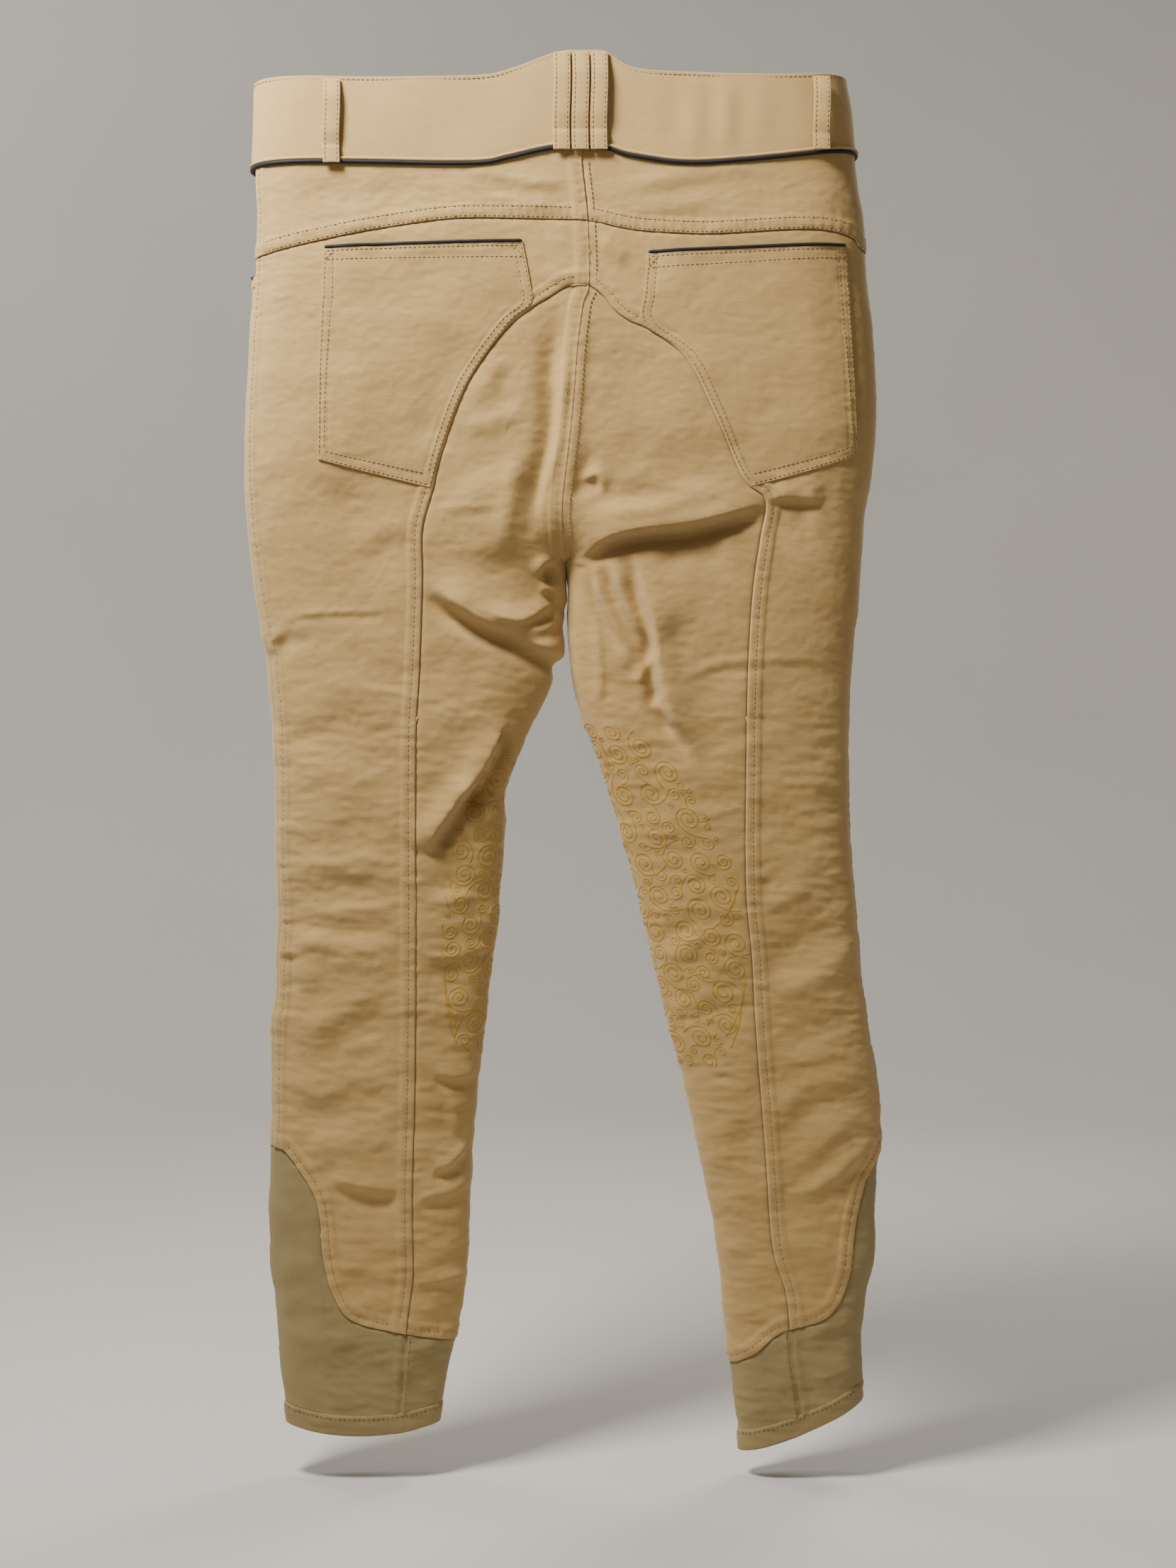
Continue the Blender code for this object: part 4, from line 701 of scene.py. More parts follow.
def over_edge(away, along, rows, stand=0.8 * MM):
    """The height of a seam's upper side: a folded lip, and a dent with puckers at each row."""
    rise = stand * (1 - np.exp(-away / (0.5 * MM))) * (1 - ramp(away, 8.5 * MM, 11.5 * MM))
    for row in rows:
        sway = np.sin(TURN * along / 0.0062 + 2.2 * np.sin(along / 0.017) + 900 * row)
        rise = rise - 0.35 * MM * np.exp(-(((away - row) / (0.9 * MM)) ** 2))
        rise = rise + 0.16 * MM * sway * np.exp(-(((away - row) / (3.6 * MM)) ** 2))
    return rise


def under_edge(away):
    return -1.1 * MM * np.exp(-away / (1.1 * MM))


def grid_mesh(name, points, flip=False, closed=False):
    """Quads through a grid of points. A closed grid joins its last column to its first."""
    rows, columns = points.shape[:2]
    index = np.arange(rows * columns).reshape(rows, columns)
    after = np.roll(index, -1, axis=1) if closed else index[:, 1:]
    before = index if closed else index[:, :-1]
    quads = np.stack([before[:-1], before[1:], after[1:], after[:-1]], axis=-1).reshape(-1, 4)
    return quad_mesh(name, points.reshape(-1, 3), quads[:, ::-1] if flip else quads)


def quad_mesh(name, points, quads):
    mesh = bpy.data.meshes.new(name)
    mesh.vertices.add(len(points))
    mesh.vertices.foreach_set("co", np.asarray(points, np.float32).ravel())
    mesh.loops.add(quads.size)
    mesh.loops.foreach_set("vertex_index", np.ascontiguousarray(quads, np.int32).ravel())
    mesh.polygons.add(len(quads))
    mesh.polygons.foreach_set("loop_start", np.arange(0, quads.size, 4, dtype=np.int32))
    mesh.update(calc_edges=True)
    mesh.shade_smooth()
    return mesh


def link(name, mesh, look):
    made = bpy.data.objects.new(name, mesh)
    bpy.context.scene.collection.objects.link(made)
    mesh.materials.append(LOOKS[look])
    return made


def thicken(made, thickness):
    wall = made.modifiers.new("cloth", "SOLIDIFY")
    wall.thickness = thickness
    wall.offset = -1.0
    wall.use_even_offset = False
    return made


def add_wear(mesh, values):
    worn = mesh.attributes.new("wear", "FLOAT", "POINT")
    worn.data.foreach_set("value", np.asarray(values, np.float32).ravel())


def lapped(places, edge):
    """The grid with three more rows past the split at mid-thigh, and how far each goes."""
    if edge == "top":
        grid, past = lapped(places[::-1] * (1, -1), "bottom")
        return grid[::-1] * (1, -1), past[::-1]
    extra = np.arange(1, 4)[:, None] * LAP_STEP
    more = np.repeat(places[-1][None], 3, axis=0) - np.stack([0 * extra, extra], axis=-1)
    past = np.concatenate([np.zeros(len(places)), extra[:, 0]])
    return np.concatenate([places, more]), past[:, None]


def panel(name, side, top, bottom, left, right, step, over=(), under=(), look="twill",
          lift=0.0, thickness=CLOTH, laps=None):
    """A cloth panel. over and under name sides with the seam there: (side, Run, stitch rows)."""
    close = {"right" if edge == "middle" else edge for edge, *_ in (*over, *under)}
    places = patch_places(side, top, bottom, left, right, step, close)
    for edge, _ in under:
        if edge != "middle":
            places = tucked(side, places, edge)
    sink = 0.0
    if laps:
        places, past = lapped(places, laps)
        sink = -LAP_SINK * (past / LAP_STEP) ** 2
    spots = skin(side, places[..., 0], places[..., 1])
    rise = np.zeros(spots.shape[:2])
    wear = np.zeros(spots.shape[:2])
    for _, run, rows in over:
        away, along = run.nearest(spots)
        rise += over_edge(away, along, rows)
        wear += np.exp(-away / (1.2 * MM))
    for edge, run in under:
        if run:
            away, _ = run.nearest(spots)
            rise += under_edge(away)
        hidden = {"left": np.s_[:, 0], "right": np.s_[:, -1], "top": np.s_[0, :],
                  "bottom": np.s_[-1, :], "middle": np.s_[:0, :]}[edge]
        rise[hidden] = -1.9 * MM
    points = cloth_at(side, places[..., 0], places[..., 1], rise + lift + sink)
    mesh = grid_mesh(name, points, flip=side == "right")
    add_wear(mesh, wear)
    return thicken(link(name, mesh, look), thickness)

# Materials


class Nodes:
    """A material's node tree, with short ways to add and join nodes."""

    def __init__(self, name):
        self.material = bpy.data.materials.new(name)
        self.material.use_nodes = True
        self.tree = self.material.node_tree
        self.shader = self.tree.nodes["Principled BSDF"]

    def add(self, kind, **settings):
        node = self.tree.nodes.new("ShaderNode" + kind)
        for key, value in settings.items():
            if key in node.inputs:
                node.inputs[key].default_value = value
            else:
                setattr(node, key, value)
        return node

    def join(self, source, target):
        self.tree.links.new(source, target)

    def place(self, scale):
        """Object coordinates, scaled."""
        where = self.add("TexCoord").outputs["Object"]
        mapping = self.add("Mapping", Scale=scale)
        self.join(where, mapping.inputs["Vector"])
        return mapping.outputs["Vector"]

    def noise(self, scale, detail=2.0, roughness=0.5):
        made = self.add("TexNoise", Scale=1.0, Detail=detail, Roughness=roughness)
        self.join(self.place(scale), made.inputs["Vector"])
        return made.outputs["Fac"]

    def bands(self, scale, direction="DIAGONAL", distortion=0.0):
        made = self.add("TexWave", Scale=1.0, Distortion=distortion)
        made.bands_direction = direction
        self.join(self.place(scale), made.inputs["Vector"])
        return made.outputs["Fac"]

    def math(self, operation, a, b):
        made = self.add("Math", operation=operation)
        for socket, value in zip(made.inputs, (a, b)):
            if isinstance(value, float):
                socket.default_value = value
            else:
                self.join(value, socket)
        return made.outputs["Value"]

    def mix(self, share, a, b):
        made = self.add("Mix", data_type="RGBA")
        self.join(share, made.inputs["Factor"])
        for socket, value in ((made.inputs[6], a), (made.inputs[7], b)):
            if isinstance(value, tuple):
                socket.default_value = (*value, 1.0)
            else:
                self.join(value, socket)
        return made.outputs[2]

    def bump(self, height, distance, strength=1.0, before=None):
        made = self.add("Bump", Strength=strength, Distance=distance)
        self.join(height, made.inputs["Height"])
        if before:
            self.join(before, made.inputs["Normal"])
        return made.outputs["Normal"]

    def ramp(self, value, low, high):
        made = self.add("MapRange")
        for key, number in (("From Min", low), ("From Max", high)):
            made.inputs[key].default_value = number
        self.join(value, made.inputs["Value"])
        return made.outputs["Result"]

    def wire(self, **outputs):
        for key, value in outputs.items():
            socket = self.shader.inputs[key.replace("_", " ")]
            if isinstance(value, float):
                socket.default_value = value
            else:
                self.join(value, socket)
        return self.material


def woven(name, base, dark, light, worn, slant=True, weave=2300.0, sheen=0.25):
    """Cloth: fine slanted ribs, slubs along the weft, soft blotches and paler worn edges."""
    n = Nodes(name)
    ribs = n.bands((weave, weave, weave * (0.62 if slant else 0.0)), "X", 0.4)
    slubs = n.noise((110.0, 110.0, 1500.0), 3.0, 0.6)
    grain = n.noise((1400.0, 1400.0, 1400.0), 2.0)
    blotches = n.noise((9.0, 9.0, 7.0), 4.0, 0.55)
    colour = n.mix(n.ramp(blotches, 0.3, 0.7), dark, base)
    colour = n.mix(n.math("MULTIPLY", n.ramp(slubs, 0.42, 0.72), 0.60), colour, light)
    colour = n.mix(n.math("MULTIPLY", ribs, 0.45), colour, dark)
    wear = n.add("Attribute", attribute_name="wear").outputs["Fac"]
    colour = n.mix(n.math("MULTIPLY", wear, 0.30), colour, worn)
    rough = n.math("ADD", n.math("MULTIPLY", grain, 0.16), 0.74)
    height = n.math("ADD", n.math("MULTIPLY", ribs, 0.6), n.math("MULTIPLY", slubs, 0.8))
    relief = n.bump(height, 0.00012, 0.55)
    relief = n.bump(n.noise((320.0, 320.0, 420.0), 3.0), 0.00022, 0.35, relief)
    n.wire(Base_Color=colour, Roughness=rough, Normal=relief)
    return n.wire(Sheen_Weight=sheen, Sheen_Roughness=0.5, Specular_IOR_Level=0.25)


def knitted(name, base, dark, light):
    """A fine jersey: wales that run up and down, crossed by courses."""
    n = Nodes(name)
    wales = n.bands((2100.0, 2100.0, 0.0), "X", 0.8)
    courses = n.bands((0.0, 0.0, 2600.0), "Z", 0.8)
    blotches = n.noise((12.0, 12.0, 9.0), 4.0, 0.55)
    fuzz = n.noise((700.0, 700.0, 900.0), 3.0, 0.6)
    colour = n.mix(n.ramp(blotches, 0.3, 0.7), dark, base)
    colour = n.mix(n.math("MULTIPLY", n.ramp(fuzz, 0.4, 0.75), 0.35), colour, light)
    colour = n.mix(n.math("MULTIPLY", wales, 0.22), colour, dark)
    height = n.math("ADD", n.math("MULTIPLY", wales, 0.7), n.math("MULTIPLY", courses, 0.5))
    relief = n.bump(height, 0.00014, 0.6)
    relief = n.bump(fuzz, 0.0002, 0.3, relief)
    rough = n.math("ADD", n.math("MULTIPLY", fuzz, 0.15), 0.78)
    n.wire(Base_Color=colour, Roughness=rough, Normal=relief)
    return n.wire(Sheen_Weight=0.2, Sheen_Roughness=0.5, Specular_IOR_Level=0.2)


def corded(name, base, light, twist=1400.0, rough=0.62, sheen=0.1):
    """A cord or thread: a twist along it and a little fuzz."""
    n = Nodes(name)
    lay = n.bands((twist, twist, twist), "DIAGONAL", 0.6)
    fuzz = n.noise((1800.0, 1800.0, 1800.0), 2.0)
    colour = n.mix(n.math("MULTIPLY", lay, 0.5), base, light)
    roughness = n.math("ADD", n.math("MULTIPLY", fuzz, 0.2), rough - 0.1)
    relief = n.bump(n.math("ADD", lay, fuzz), 0.0001, 0.5)
    n.wire(Base_Color=colour, Roughness=roughness, Normal=relief)
    return n.wire(Sheen_Weight=sheen, Specular_IOR_Level=0.3)


def printed(name, base, dark):
    """Silicone that has soaked unevenly into the cloth: worn thin in patches, a little glossy."""
    n = Nodes(name)
    thin = n.noise((160.0, 160.0, 160.0), 4.0, 0.6)
    weave = n.noise((900.0, 900.0, 1500.0), 2.0)
    colour = n.mix(n.ramp(thin, 0.35, 0.7), dark, base)
    rough = n.math("ADD", n.math("MULTIPLY", weave, 0.25), 0.36)
    relief = n.bump(weave, 0.00012, 0.5)
    n.wire(Base_Color=colour, Roughness=rough, Normal=relief)
    return n.wire(Specular_IOR_Level=0.45, Subsurface_Weight=0.1)


def brushed(name, base, dark):
    """Plated metal with fine brush marks and a few dull spots."""
    n = Nodes(name)
    marks = n.noise((300.0, 300.0, 4200.0), 2.0)
    spots = n.noise((260.0, 260.0, 260.0), 4.0, 0.65)
    colour = n.mix(n.ramp(spots, 0.35, 0.7), base, dark)
    rough = n.math("ADD", n.math("MULTIPLY", marks, 0.25), n.math("MULTIPLY", spots, 0.25))
    n.wire(Base_Color=colour, Roughness=rough, Normal=n.bump(marks, 0.00005, 0.4))
    return n.wire(Metallic=1.0)


def floor_look():
    n = Nodes("pale_floor")
    mottle = n.noise((3.0, 3.0, 3.0), 3.0)
    colour = n.mix(mottle, (0.60, 0.58, 0.54), (0.65, 0.63, 0.59))
    grain = n.noise((180.0, 180.0, 180.0), 2.0)
    n.wire(Base_Color=colour, Normal=n.bump(grain, 0.0002, 0.2))
    return n.wire(Roughness=0.85)


LOOKS = {
    "twill": woven("twill", (0.52, 0.340, 0.125), (0.455, 0.290, 0.100), (0.59, 0.40, 0.165),
                   (0.66, 0.47, 0.23)),
    "twill_band": woven("twill_band", (0.54, 0.358, 0.138), (0.49, 0.318, 0.118),
                        (0.60, 0.41, 0.18), (0.67, 0.48, 0.24)),
    "knit": knitted("knit", (0.365, 0.272, 0.118), (0.315, 0.232, 0.096), (0.42, 0.322, 0.150)),
    "piping": corded("piping", (0.006, 0.006, 0.008), (0.022, 0.022, 0.026), 1100.0),
    "silicone": printed("silicone", (0.47, 0.265, 0.040), (0.41, 0.240, 0.055)),
    "tape": woven("zip_tape", (0.36, 0.25, 0.13), (0.31, 0.21, 0.11), (0.42, 0.30, 0.17),
                  (0.46, 0.34, 0.2), slant=False, weave=1800.0),
    "metal": brushed("metal", (0.66, 0.64, 0.60), (0.42, 0.40, 0.36)),
    "thread": corded("thread", (0.30, 0.20, 0.095), (0.44, 0.31, 0.16), 2600.0, 0.7),
    "knit_thread": corded("knit_thread", (0.22, 0.165, 0.085), (0.32, 0.25, 0.14), 2600.0, 0.7),
}

# Baking each piece's transform into its mesh; nothing here bends it


def bend_at_hip(made):
    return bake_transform(made)


def bend_at_knee(made):
    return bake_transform(made)


# Seam lines of each side


def side_angle(side, z):
    """The side seam's angle: a little more round the fold on the legs."""
    share = ramp(-np.asarray(z, float), 0.30, 0.42)
    return SIDE_ANGLE[side] * (1 - share) + LEG_SIDE_ANGLE[side] * share


def side_run(side, top, bottom, turn=0.0, count=90):
    z = np.linspace(top, bottom, count)
    return np.stack([side_angle(side, z) + turn, z], axis=1)


def inseam_run(top, bottom, count=60):
    z = np.linspace(top, bottom, count)
    wrap = INNER_WRAP * ramp(CROTCH_Z - z, 0.0, 0.10)
    return np.stack([math.pi + np.maximum(wrap, 0.02), z], axis=1)


def centre_run(top, bottom, count=80):
    return straight((math.pi, top), (math.pi, bottom), count)


def back_seam(side):
    return back_run(side, np.vstack([ARCH[side], LEG_SEAM[side][1:]]))


seam_of = {side: back_seam(side) for side in SIDES}
ARCH_Z = -0.1370
ROW_FALL = 0.010


def yoke_run(side):
    """The yoke's lower edge from the side seam to the middle."""
    angles = np.linspace(float(side_angle(side, -0.11)), math.pi, 90)
    x = skin(side, angles, np.full(90, -0.1))[:, 0]
    return np.stack([angles, yoke_z(x)], axis=1)


def band_foot(side, first, last, count=70):
    """The waistband's lower edge between two angles: shaped behind and level in front."""
    return band_line(side, band_bottom_z, FRONT_BOTTOM, first, last, count)


def band_line(side, shape, front_z, first, last, count):
    angles = np.linspace(first, last, count)
    x = skin(side, angles, np.full(count, -0.02))[:, 0]
    behind = 0.5 + 0.5 * np.tanh(np.sin(angles) * 6 + 2.2)
    return np.stack([angles, behind * shape(x) + (1 - behind) * front_z], axis=1)


def sock_line(side):
    """The sock's upper edge once round the leg. The front mirrors the back."""
    run = back_run(side, SOCK_TOP[side])
    run = run[np.argsort(run[:, 0])]
    half = np.vstack([(0.0, SOCK_SIDE_Z), run[run[:, 0] > 0.05], (math.pi, run[-1, 1] - 0.0005)])
    return np.vstack([half, np.stack([TURN - half[-2::-1, 0], half[-2::-1, 1]], axis=1)])


sock_runs = {side: sock_line(side) for side in SIDES}


def sock_between(side, first, last):
    line = sock_runs[side]
    wide = np.vstack([line[:-1] - (TURN, 0), line, line[1:] + (TURN, 0)])
    inside = wide[(wide[:, 0] > first + 1e-4) & (wide[:, 0] < last - 1e-4)]
    ends = [(a, float(np.interp(a, wide[:, 0], wide[:, 1]))) for a in (first, last)]
    return np.vstack([ends[0], inside, ends[1]])


def meeting(side, run):
    """The angle and height where a seam reaches the sock's edge."""
    line = sock_runs[side]
    z = -0.88
    for _ in range(30):
        angle = float(np.interp(-z, -run[:, 1], run[:, 0]))
        z = float(np.interp(angle, line[:, 0], line[:, 1]))
    return angle, z


# Seams that more than one panel shares, from top to sock


def shared_seams(side):
    line = seam_of[side]
    meet_angle, meet_z = meeting(side, line)
    back = np.vstack([line[line[:, 1] > meet_z + 0.002], (meet_angle, meet_z)])
    outer_z = float(sock_between(side, float(side_angle(side, -0.7)), 3.0)[0, 1])
    wrap = math.pi + INNER_WRAP
    inner_z = float(sock_between(side, wrap, wrap + 0.5)[0, 1])
    yoke = yoke_run(side)
    return {"back": Run(side, back),
            "side": Run(side, side_run(side, -0.040, outer_z, count=200)),
            "inseam": Run(side, inseam_run(CROTCH_Z - 0.001, inner_z, 160)),
            "centre": Run(side, centre_run(-0.040, CROTCH_Z, 120)),
            "yoke": Run(side, yoke)}


SEAMS = {side: shared_seams(side) for side in SIDES}


def stretch(run, top, bottom):
    return cut(run.places, low=bottom, high=top)


# Upper panels: waistband to mid-thigh


def finish_sheet(made, name, *nodes):
    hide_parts(*nodes)
    return made


def make_yoke(side):
    seams = SEAMS[side]
    bottom = seams["yoke"].places
    top = band_foot(side, float(side_angle(side, -0.05)), math.pi)
    top[:, 1] += 2 * MM
    middle = centre_run(top[-1, 1], bottom[-1, 1], 30)
    outer = side_run(side, top[0, 1], bottom[0, 1], count=30)
    over = [("bottom", seams["yoke"], (ROW_NEAR, ROW_FAR)), ("left", seams["side"], (ROW_LEG,))]
    under = []
    if side == "left":
        over.append(("right", seams["centre"], (2.2 * MM,)))
    else:
        under.append(("middle", seams["centre"]))
    name = f"back_yoke_{side}"
    made = panel("cloth_" + name, side, top, bottom, outer, middle, BACK_STEP, over, under)
    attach(made, "seat_and_waist")
    return finish_sheet(made, "yoke", name)


def nearly_level(outer, inner):
    """The outer run, with rows that fall slightly inwards from the arch's top down."""
    z = outer[:, 1]
    meet_z = ARCH_Z + ROW_FALL
    down = -inner.places[:, 1]
    above = np.interp(-ARCH_Z, down, inner.stations) * (z[0] - z) / (z[0] - meet_z)
    lowered = z - ROW_FALL * (z - z[-1]) / (meet_z - z[-1])
    below = np.interp(-lowered, down, inner.stations)
    return Run(inner.side, outer, np.where(z < meet_z, below, above))


def make_hip_back(side):
    seams = SEAMS[side]
    top = seams["yoke"].places
    arch = stretch(seams["back"], ARCH_Z - 1e-4, SPLIT_Z)
    centre = centre_run(top[-1, 1], ARCH_Z, 20)
    inner = np.vstack([centre, arch[1:]])
    outer = side_run(side, top[0, 1], SPLIT_Z)
    foot = level(outer[-1, 0], inner[-1, 0], SPLIT_Z)
    over = [("right", seams["back"], (ROW_LEG,)), ("left", seams["side"], (ROW_LEG,))]
    under = [("top", seams["yoke"])]
    if side == "left":
        over.append(("right", Run(side, centre), (2.2 * MM,)))
    inner = Run(side, inner)
    made = panel(f"cloth_hip_back_{side}", side, top, foot, nearly_level(outer, inner),
                 inner, BACK_STEP, over, under, laps="bottom")
    bend_at_hip(made)
    return finish_sheet(made, "hip_back", f"hip_back_{side}", f"thigh_outer_back_{side}")


def make_seat(side):
    seams = SEAMS[side]
    arch = stretch(seams["back"], ARCH_Z - 1e-4, SPLIT_Z)
    split = 9
    head = arch[split::-1]
    outer = arch[split:]
    inner = np.vstack([centre_run(ARCH_Z, CROTCH_Z, 60),
                       stretch(seams["inseam"], CROTCH_Z - 0.001, SPLIT_Z)])
    head[-1] = inner[0]
    foot = level(outer[-1, 0], inner[-1, 0], SPLIT_Z)
    under = [("left", seams["back"]), ("top", None)]
    over = []
    if side == "left":
        over.append(("right", Run(side, inner[:60]), (2.4 * MM,)))
    made = panel(f"cloth_seat_panel_{side}", side, head, foot, outer, inner, BACK_STEP, over,
                 under, laps="bottom")
    bend_at_hip(made)
    return finish_sheet(made, "seat", f"seat_panel_{side}", f"thigh_inner_{side}")


def mouth_run(side, count=40):
    """A front pocket's edge, from the waistband round to the side seam."""
    sign = -1.0 if side == "left" else 1.0
    start = float(angle_at(side, sign * POCKET_MOUTH_X, FRONT_BOTTOM, "front")) - TURN
    end = float(side_angle(side, POCKET_MOUTH_Z))
    t = np.linspace(0.0, 1.0, count)
    turn = start + (end - start) * (1 - np.cos(t * math.pi / 2)) ** 0.9
    fall = FRONT_BOTTOM + (POCKET_MOUTH_Z - FRONT_BOTTOM) * np.sin(t * math.pi / 2) ** 0.8
    return np.stack([turn, fall], axis=1)


def fly_run(side):
    sign = -1.0 if side == "left" else 1.0
    z = np.concatenate([np.linspace(FRONT_BOTTOM + 2 * MM, ZIP_BOTTOM, 24),
                        np.linspace(ZIP_BOTTOM - 0.006, CROTCH_Z + 0.001, 16)])
    x = np.where(z >= ZIP_BOTTOM, FLY_X + sign * ZIP_HALF, front_middle_x(z) + sign * 0.0001)
    return np.stack([angle_at(side, x, z, "front") - TURN, z], axis=1)


def make_front(side):
    """The front of hip and thigh, from the fly and the inseam out to the side seam."""
    seams = SEAMS[side]
    mouth = mouth_run(side)
    edge = np.vstack([mouth, side_run(side, POCKET_MOUTH_Z - 0.004, SPLIT_Z)])
    fly = fly_run(side)
    inner = stretch(seams["inseam"], CROTCH_Z - 0.001, SPLIT_Z) - (TURN, 0)
    middle = np.vstack([fly, inner])
    edge[0, 1] = FRONT_BOTTOM + 2 * MM
    top = level(middle[0, 0], edge[0, 0], FRONT_BOTTOM + 2 * MM, 60)
    foot = level(middle[-1, 0], edge[-1, 0], SPLIT_Z, 60)
    over = [("left", Run(side, fly), (2.4 * MM, 7 * MM)), ("left", seams["inseam"], (ROW_LEG,)),
            ("right", Run(side, mouth), (1.8 * MM, 7.5 * MM))]
    under = [("right", Run(side, side_run(side, POCKET_MOUTH_Z, -0.75, count=150)))]
    made = panel(f"cloth_front_{side}", side, top, foot, middle, edge, FRONT_STEP, over, under,
                 laps="bottom")
    bend_at_hip(made)
    return finish_sheet(made, "front", f"hip_front_{side}", f"thigh_front_{side}")


def make_pocket_bag(side):
    sign = -1.0 if side == "left" else 1.0
    reach = 0.070 if side == "left" else 0.080
    first = float(angle_at(side, sign * reach, -0.12, "front")) - TURN
    last = SIDE_ANGLE[side] + 0.02
    top = level(first, last, FRONT_BOTTOM + 0.006)
    bottom = level(first, last, -0.196)
    bottom[:, 1] -= 0.012 * np.sin(np.linspace(0.0, math.pi, len(bottom)))
    left = straight((first, top[0, 1]), (first, bottom[0, 1]))
    right = straight((last, top[-1, 1]), (last, bottom[-1, 1]))
    made = panel(f"cloth_pocket_bag_{side}", side, top, bottom, left, right, 0.003,
                 lift=-4.2 * MM)
    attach(made, "seat_and_waist")
    return finish_sheet(made, "pocket_bag", f"front_pocket_bag_{side}")


# Lower panels: mid-thigh to sock


def lower_head(side, first, last, foot):
    """The head of a calf panel, whose places fan out as those of its foot do."""
    even = np.interp(foot.stations, (0, 1), (first, last))
    below = np.interp(foot.places[:, 0], foot.places[[0, -1], 0], (first, last))
    angles = SOCK_FAN * even + (1 - SOCK_FAN) * below
    return Run(side, np.stack([angles, np.full(len(angles), SPLIT_Z)], axis=1), foot.stations)


def make_lower(name, side, left, right, over, under, step):
    foot = Run(side, sock_between(side, left[-1, 0], right[-1, 0]))
    left[-1], right[-1] = foot.places[0], foot.places[-1]
    head = lower_head(side, left[0, 0], right[0, 0], foot)
    over = [*over, ("bottom", foot, (ROW_LEG,))]
    made = panel(f"cloth_{name}_{side}", side, head, foot, left, right, step, over, under,
                 laps="top")
    bend_at_knee(made)
    return finish_sheet(made, name, f"{name}_{side}")


def make_lower_panels(side):
    seams = SEAMS[side]
    back = stretch(seams["back"], SPLIT_Z, seams["back"].places[-1, 1])
    outer = stretch(seams["side"], SPLIT_Z, seams["side"].places[-1, 1])
    inner = stretch(seams["inseam"], SPLIT_Z, seams["inseam"].places[-1, 1])
    make_lower("calf_outer_back", side, outer.copy(), back.copy(),
               [("right", seams["back"], (ROW_LEG,)), ("left", seams["side"], (ROW_LEG,))], [],
               BACK_STEP)
    make_lower("calf_inner", side, back.copy(), inner.copy(), [],
               [("left", seams["back"]), ("right", seams["inseam"])], BACK_STEP)
    make_lower("calf_front", side, inner - (TURN, 0), outer.copy(),
               [("left", seams["inseam"], (ROW_LEG,))], [("right", seams["side"])], FRONT_STEP)


def hem_z(side, angle, lift=0.0):
    low, middle, high = HEM_Z[side]
    if side == "right":
        low, high = high, low
    across = -np.cos(angle)
    bow = middle - (low + high) / 2
    return (low + high) / 2 + across * (high - low) / 2 + bow * (1 - across**2) + lift


def ring_places(side, head, lift_foot, rows, first_rows=()):
    """Places of a band round the leg, each column straight down from the head to the hem."""
    foot = hem_z(side, head[:, 0], lift_foot)
    share = np.asarray([*first_rows, *np.linspace(0.0, 1.0, rows + 1)])
    share = np.unique(share)[:, None]
    z = head[None, :, 1] * (1 - share) + foot[None, :] * share
    return np.stack([np.broadcast_to(head[None, :, 0], z.shape), z], axis=-1)


def make_sock(side):
    seam = SEAMS[side]["back"].places
    line = Run(side, sock_runs[side])
    count = math.ceil(line.length / 0.0018)
    head = line.at(np.linspace(0.0, 1.0, count + 1))
    above = head.copy()
    above[:, 1] += TUCK
    places = np.concatenate([above[None], ring_places(side, head, HEM_DEPTH - 2 * MM, 52,
                                                      (0.004, 0.01, 0.02))])
    spots = skin(side, places[..., 0], places[..., 1])
    away, _ = line.nearest(spots)
    rise = under_edge(away)
    rise[0] = -1.9 * MM
    seam_angle, seam_top = seam[-1]
    back = back_run(side, LEG_SEAM[side][LEG_SEAM[side][:, 1] < seam_top + 0.02])
    ridge = Run(side, cut(back, low=hem_z(side, seam_angle, 0.002), high=seam_top))
    off, along = ridge.nearest(spots)
    rise += seam_ridge(off, along)
    mesh = grid_mesh(f"knit_sock_{side}", cloth_at(side, places[..., 0], places[..., 1], rise),
                     flip=side == "right")
    weld(mesh)
    made = thicken(link(f"knit_sock_{side}", mesh, "knit"), 1.3 * MM)
    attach(made, f"calf_{side}")
    finish_sheet(made, "sock", f"sock_{side}")
    return ridge


def seam_ridge(off, along):
    """A seam down the sock: a groove beside a puckered, raised allowance."""
    sway = np.sin(TURN * along / 0.0075)
    rise = -1.0 * MM * np.exp(-((off / (0.9 * MM)) ** 2))
    return rise + (0.7 + 0.2 * sway) * MM * np.exp(-(((off - 3.5 * MM) / (2.6 * MM)) ** 2))


def rework(mesh, change):
    """Changes a mesh by bmesh operations."""
    work = bmesh.new()
    work.from_mesh(mesh)
    change(work)
    work.to_mesh(mesh)
    work.free()
    mesh.shade_smooth()


def weld(mesh):
    rework(mesh, lambda work: bmesh.ops.remove_doubles(work, verts=work.verts, dist=2e-5))


def cap(mesh, reach=math.inf):
    """Closes the open ends that lie within a reach of the Z axis, and turns all faces outwards."""
    def change(work):
        rim = [e for e in work.edges if e.is_boundary and e.verts[0].co.xy.length < reach]
        bmesh.ops.holes_fill(work, edges=rim)
        bmesh.ops.recalc_face_normals(work, faces=work.faces)

    rework(mesh, change)


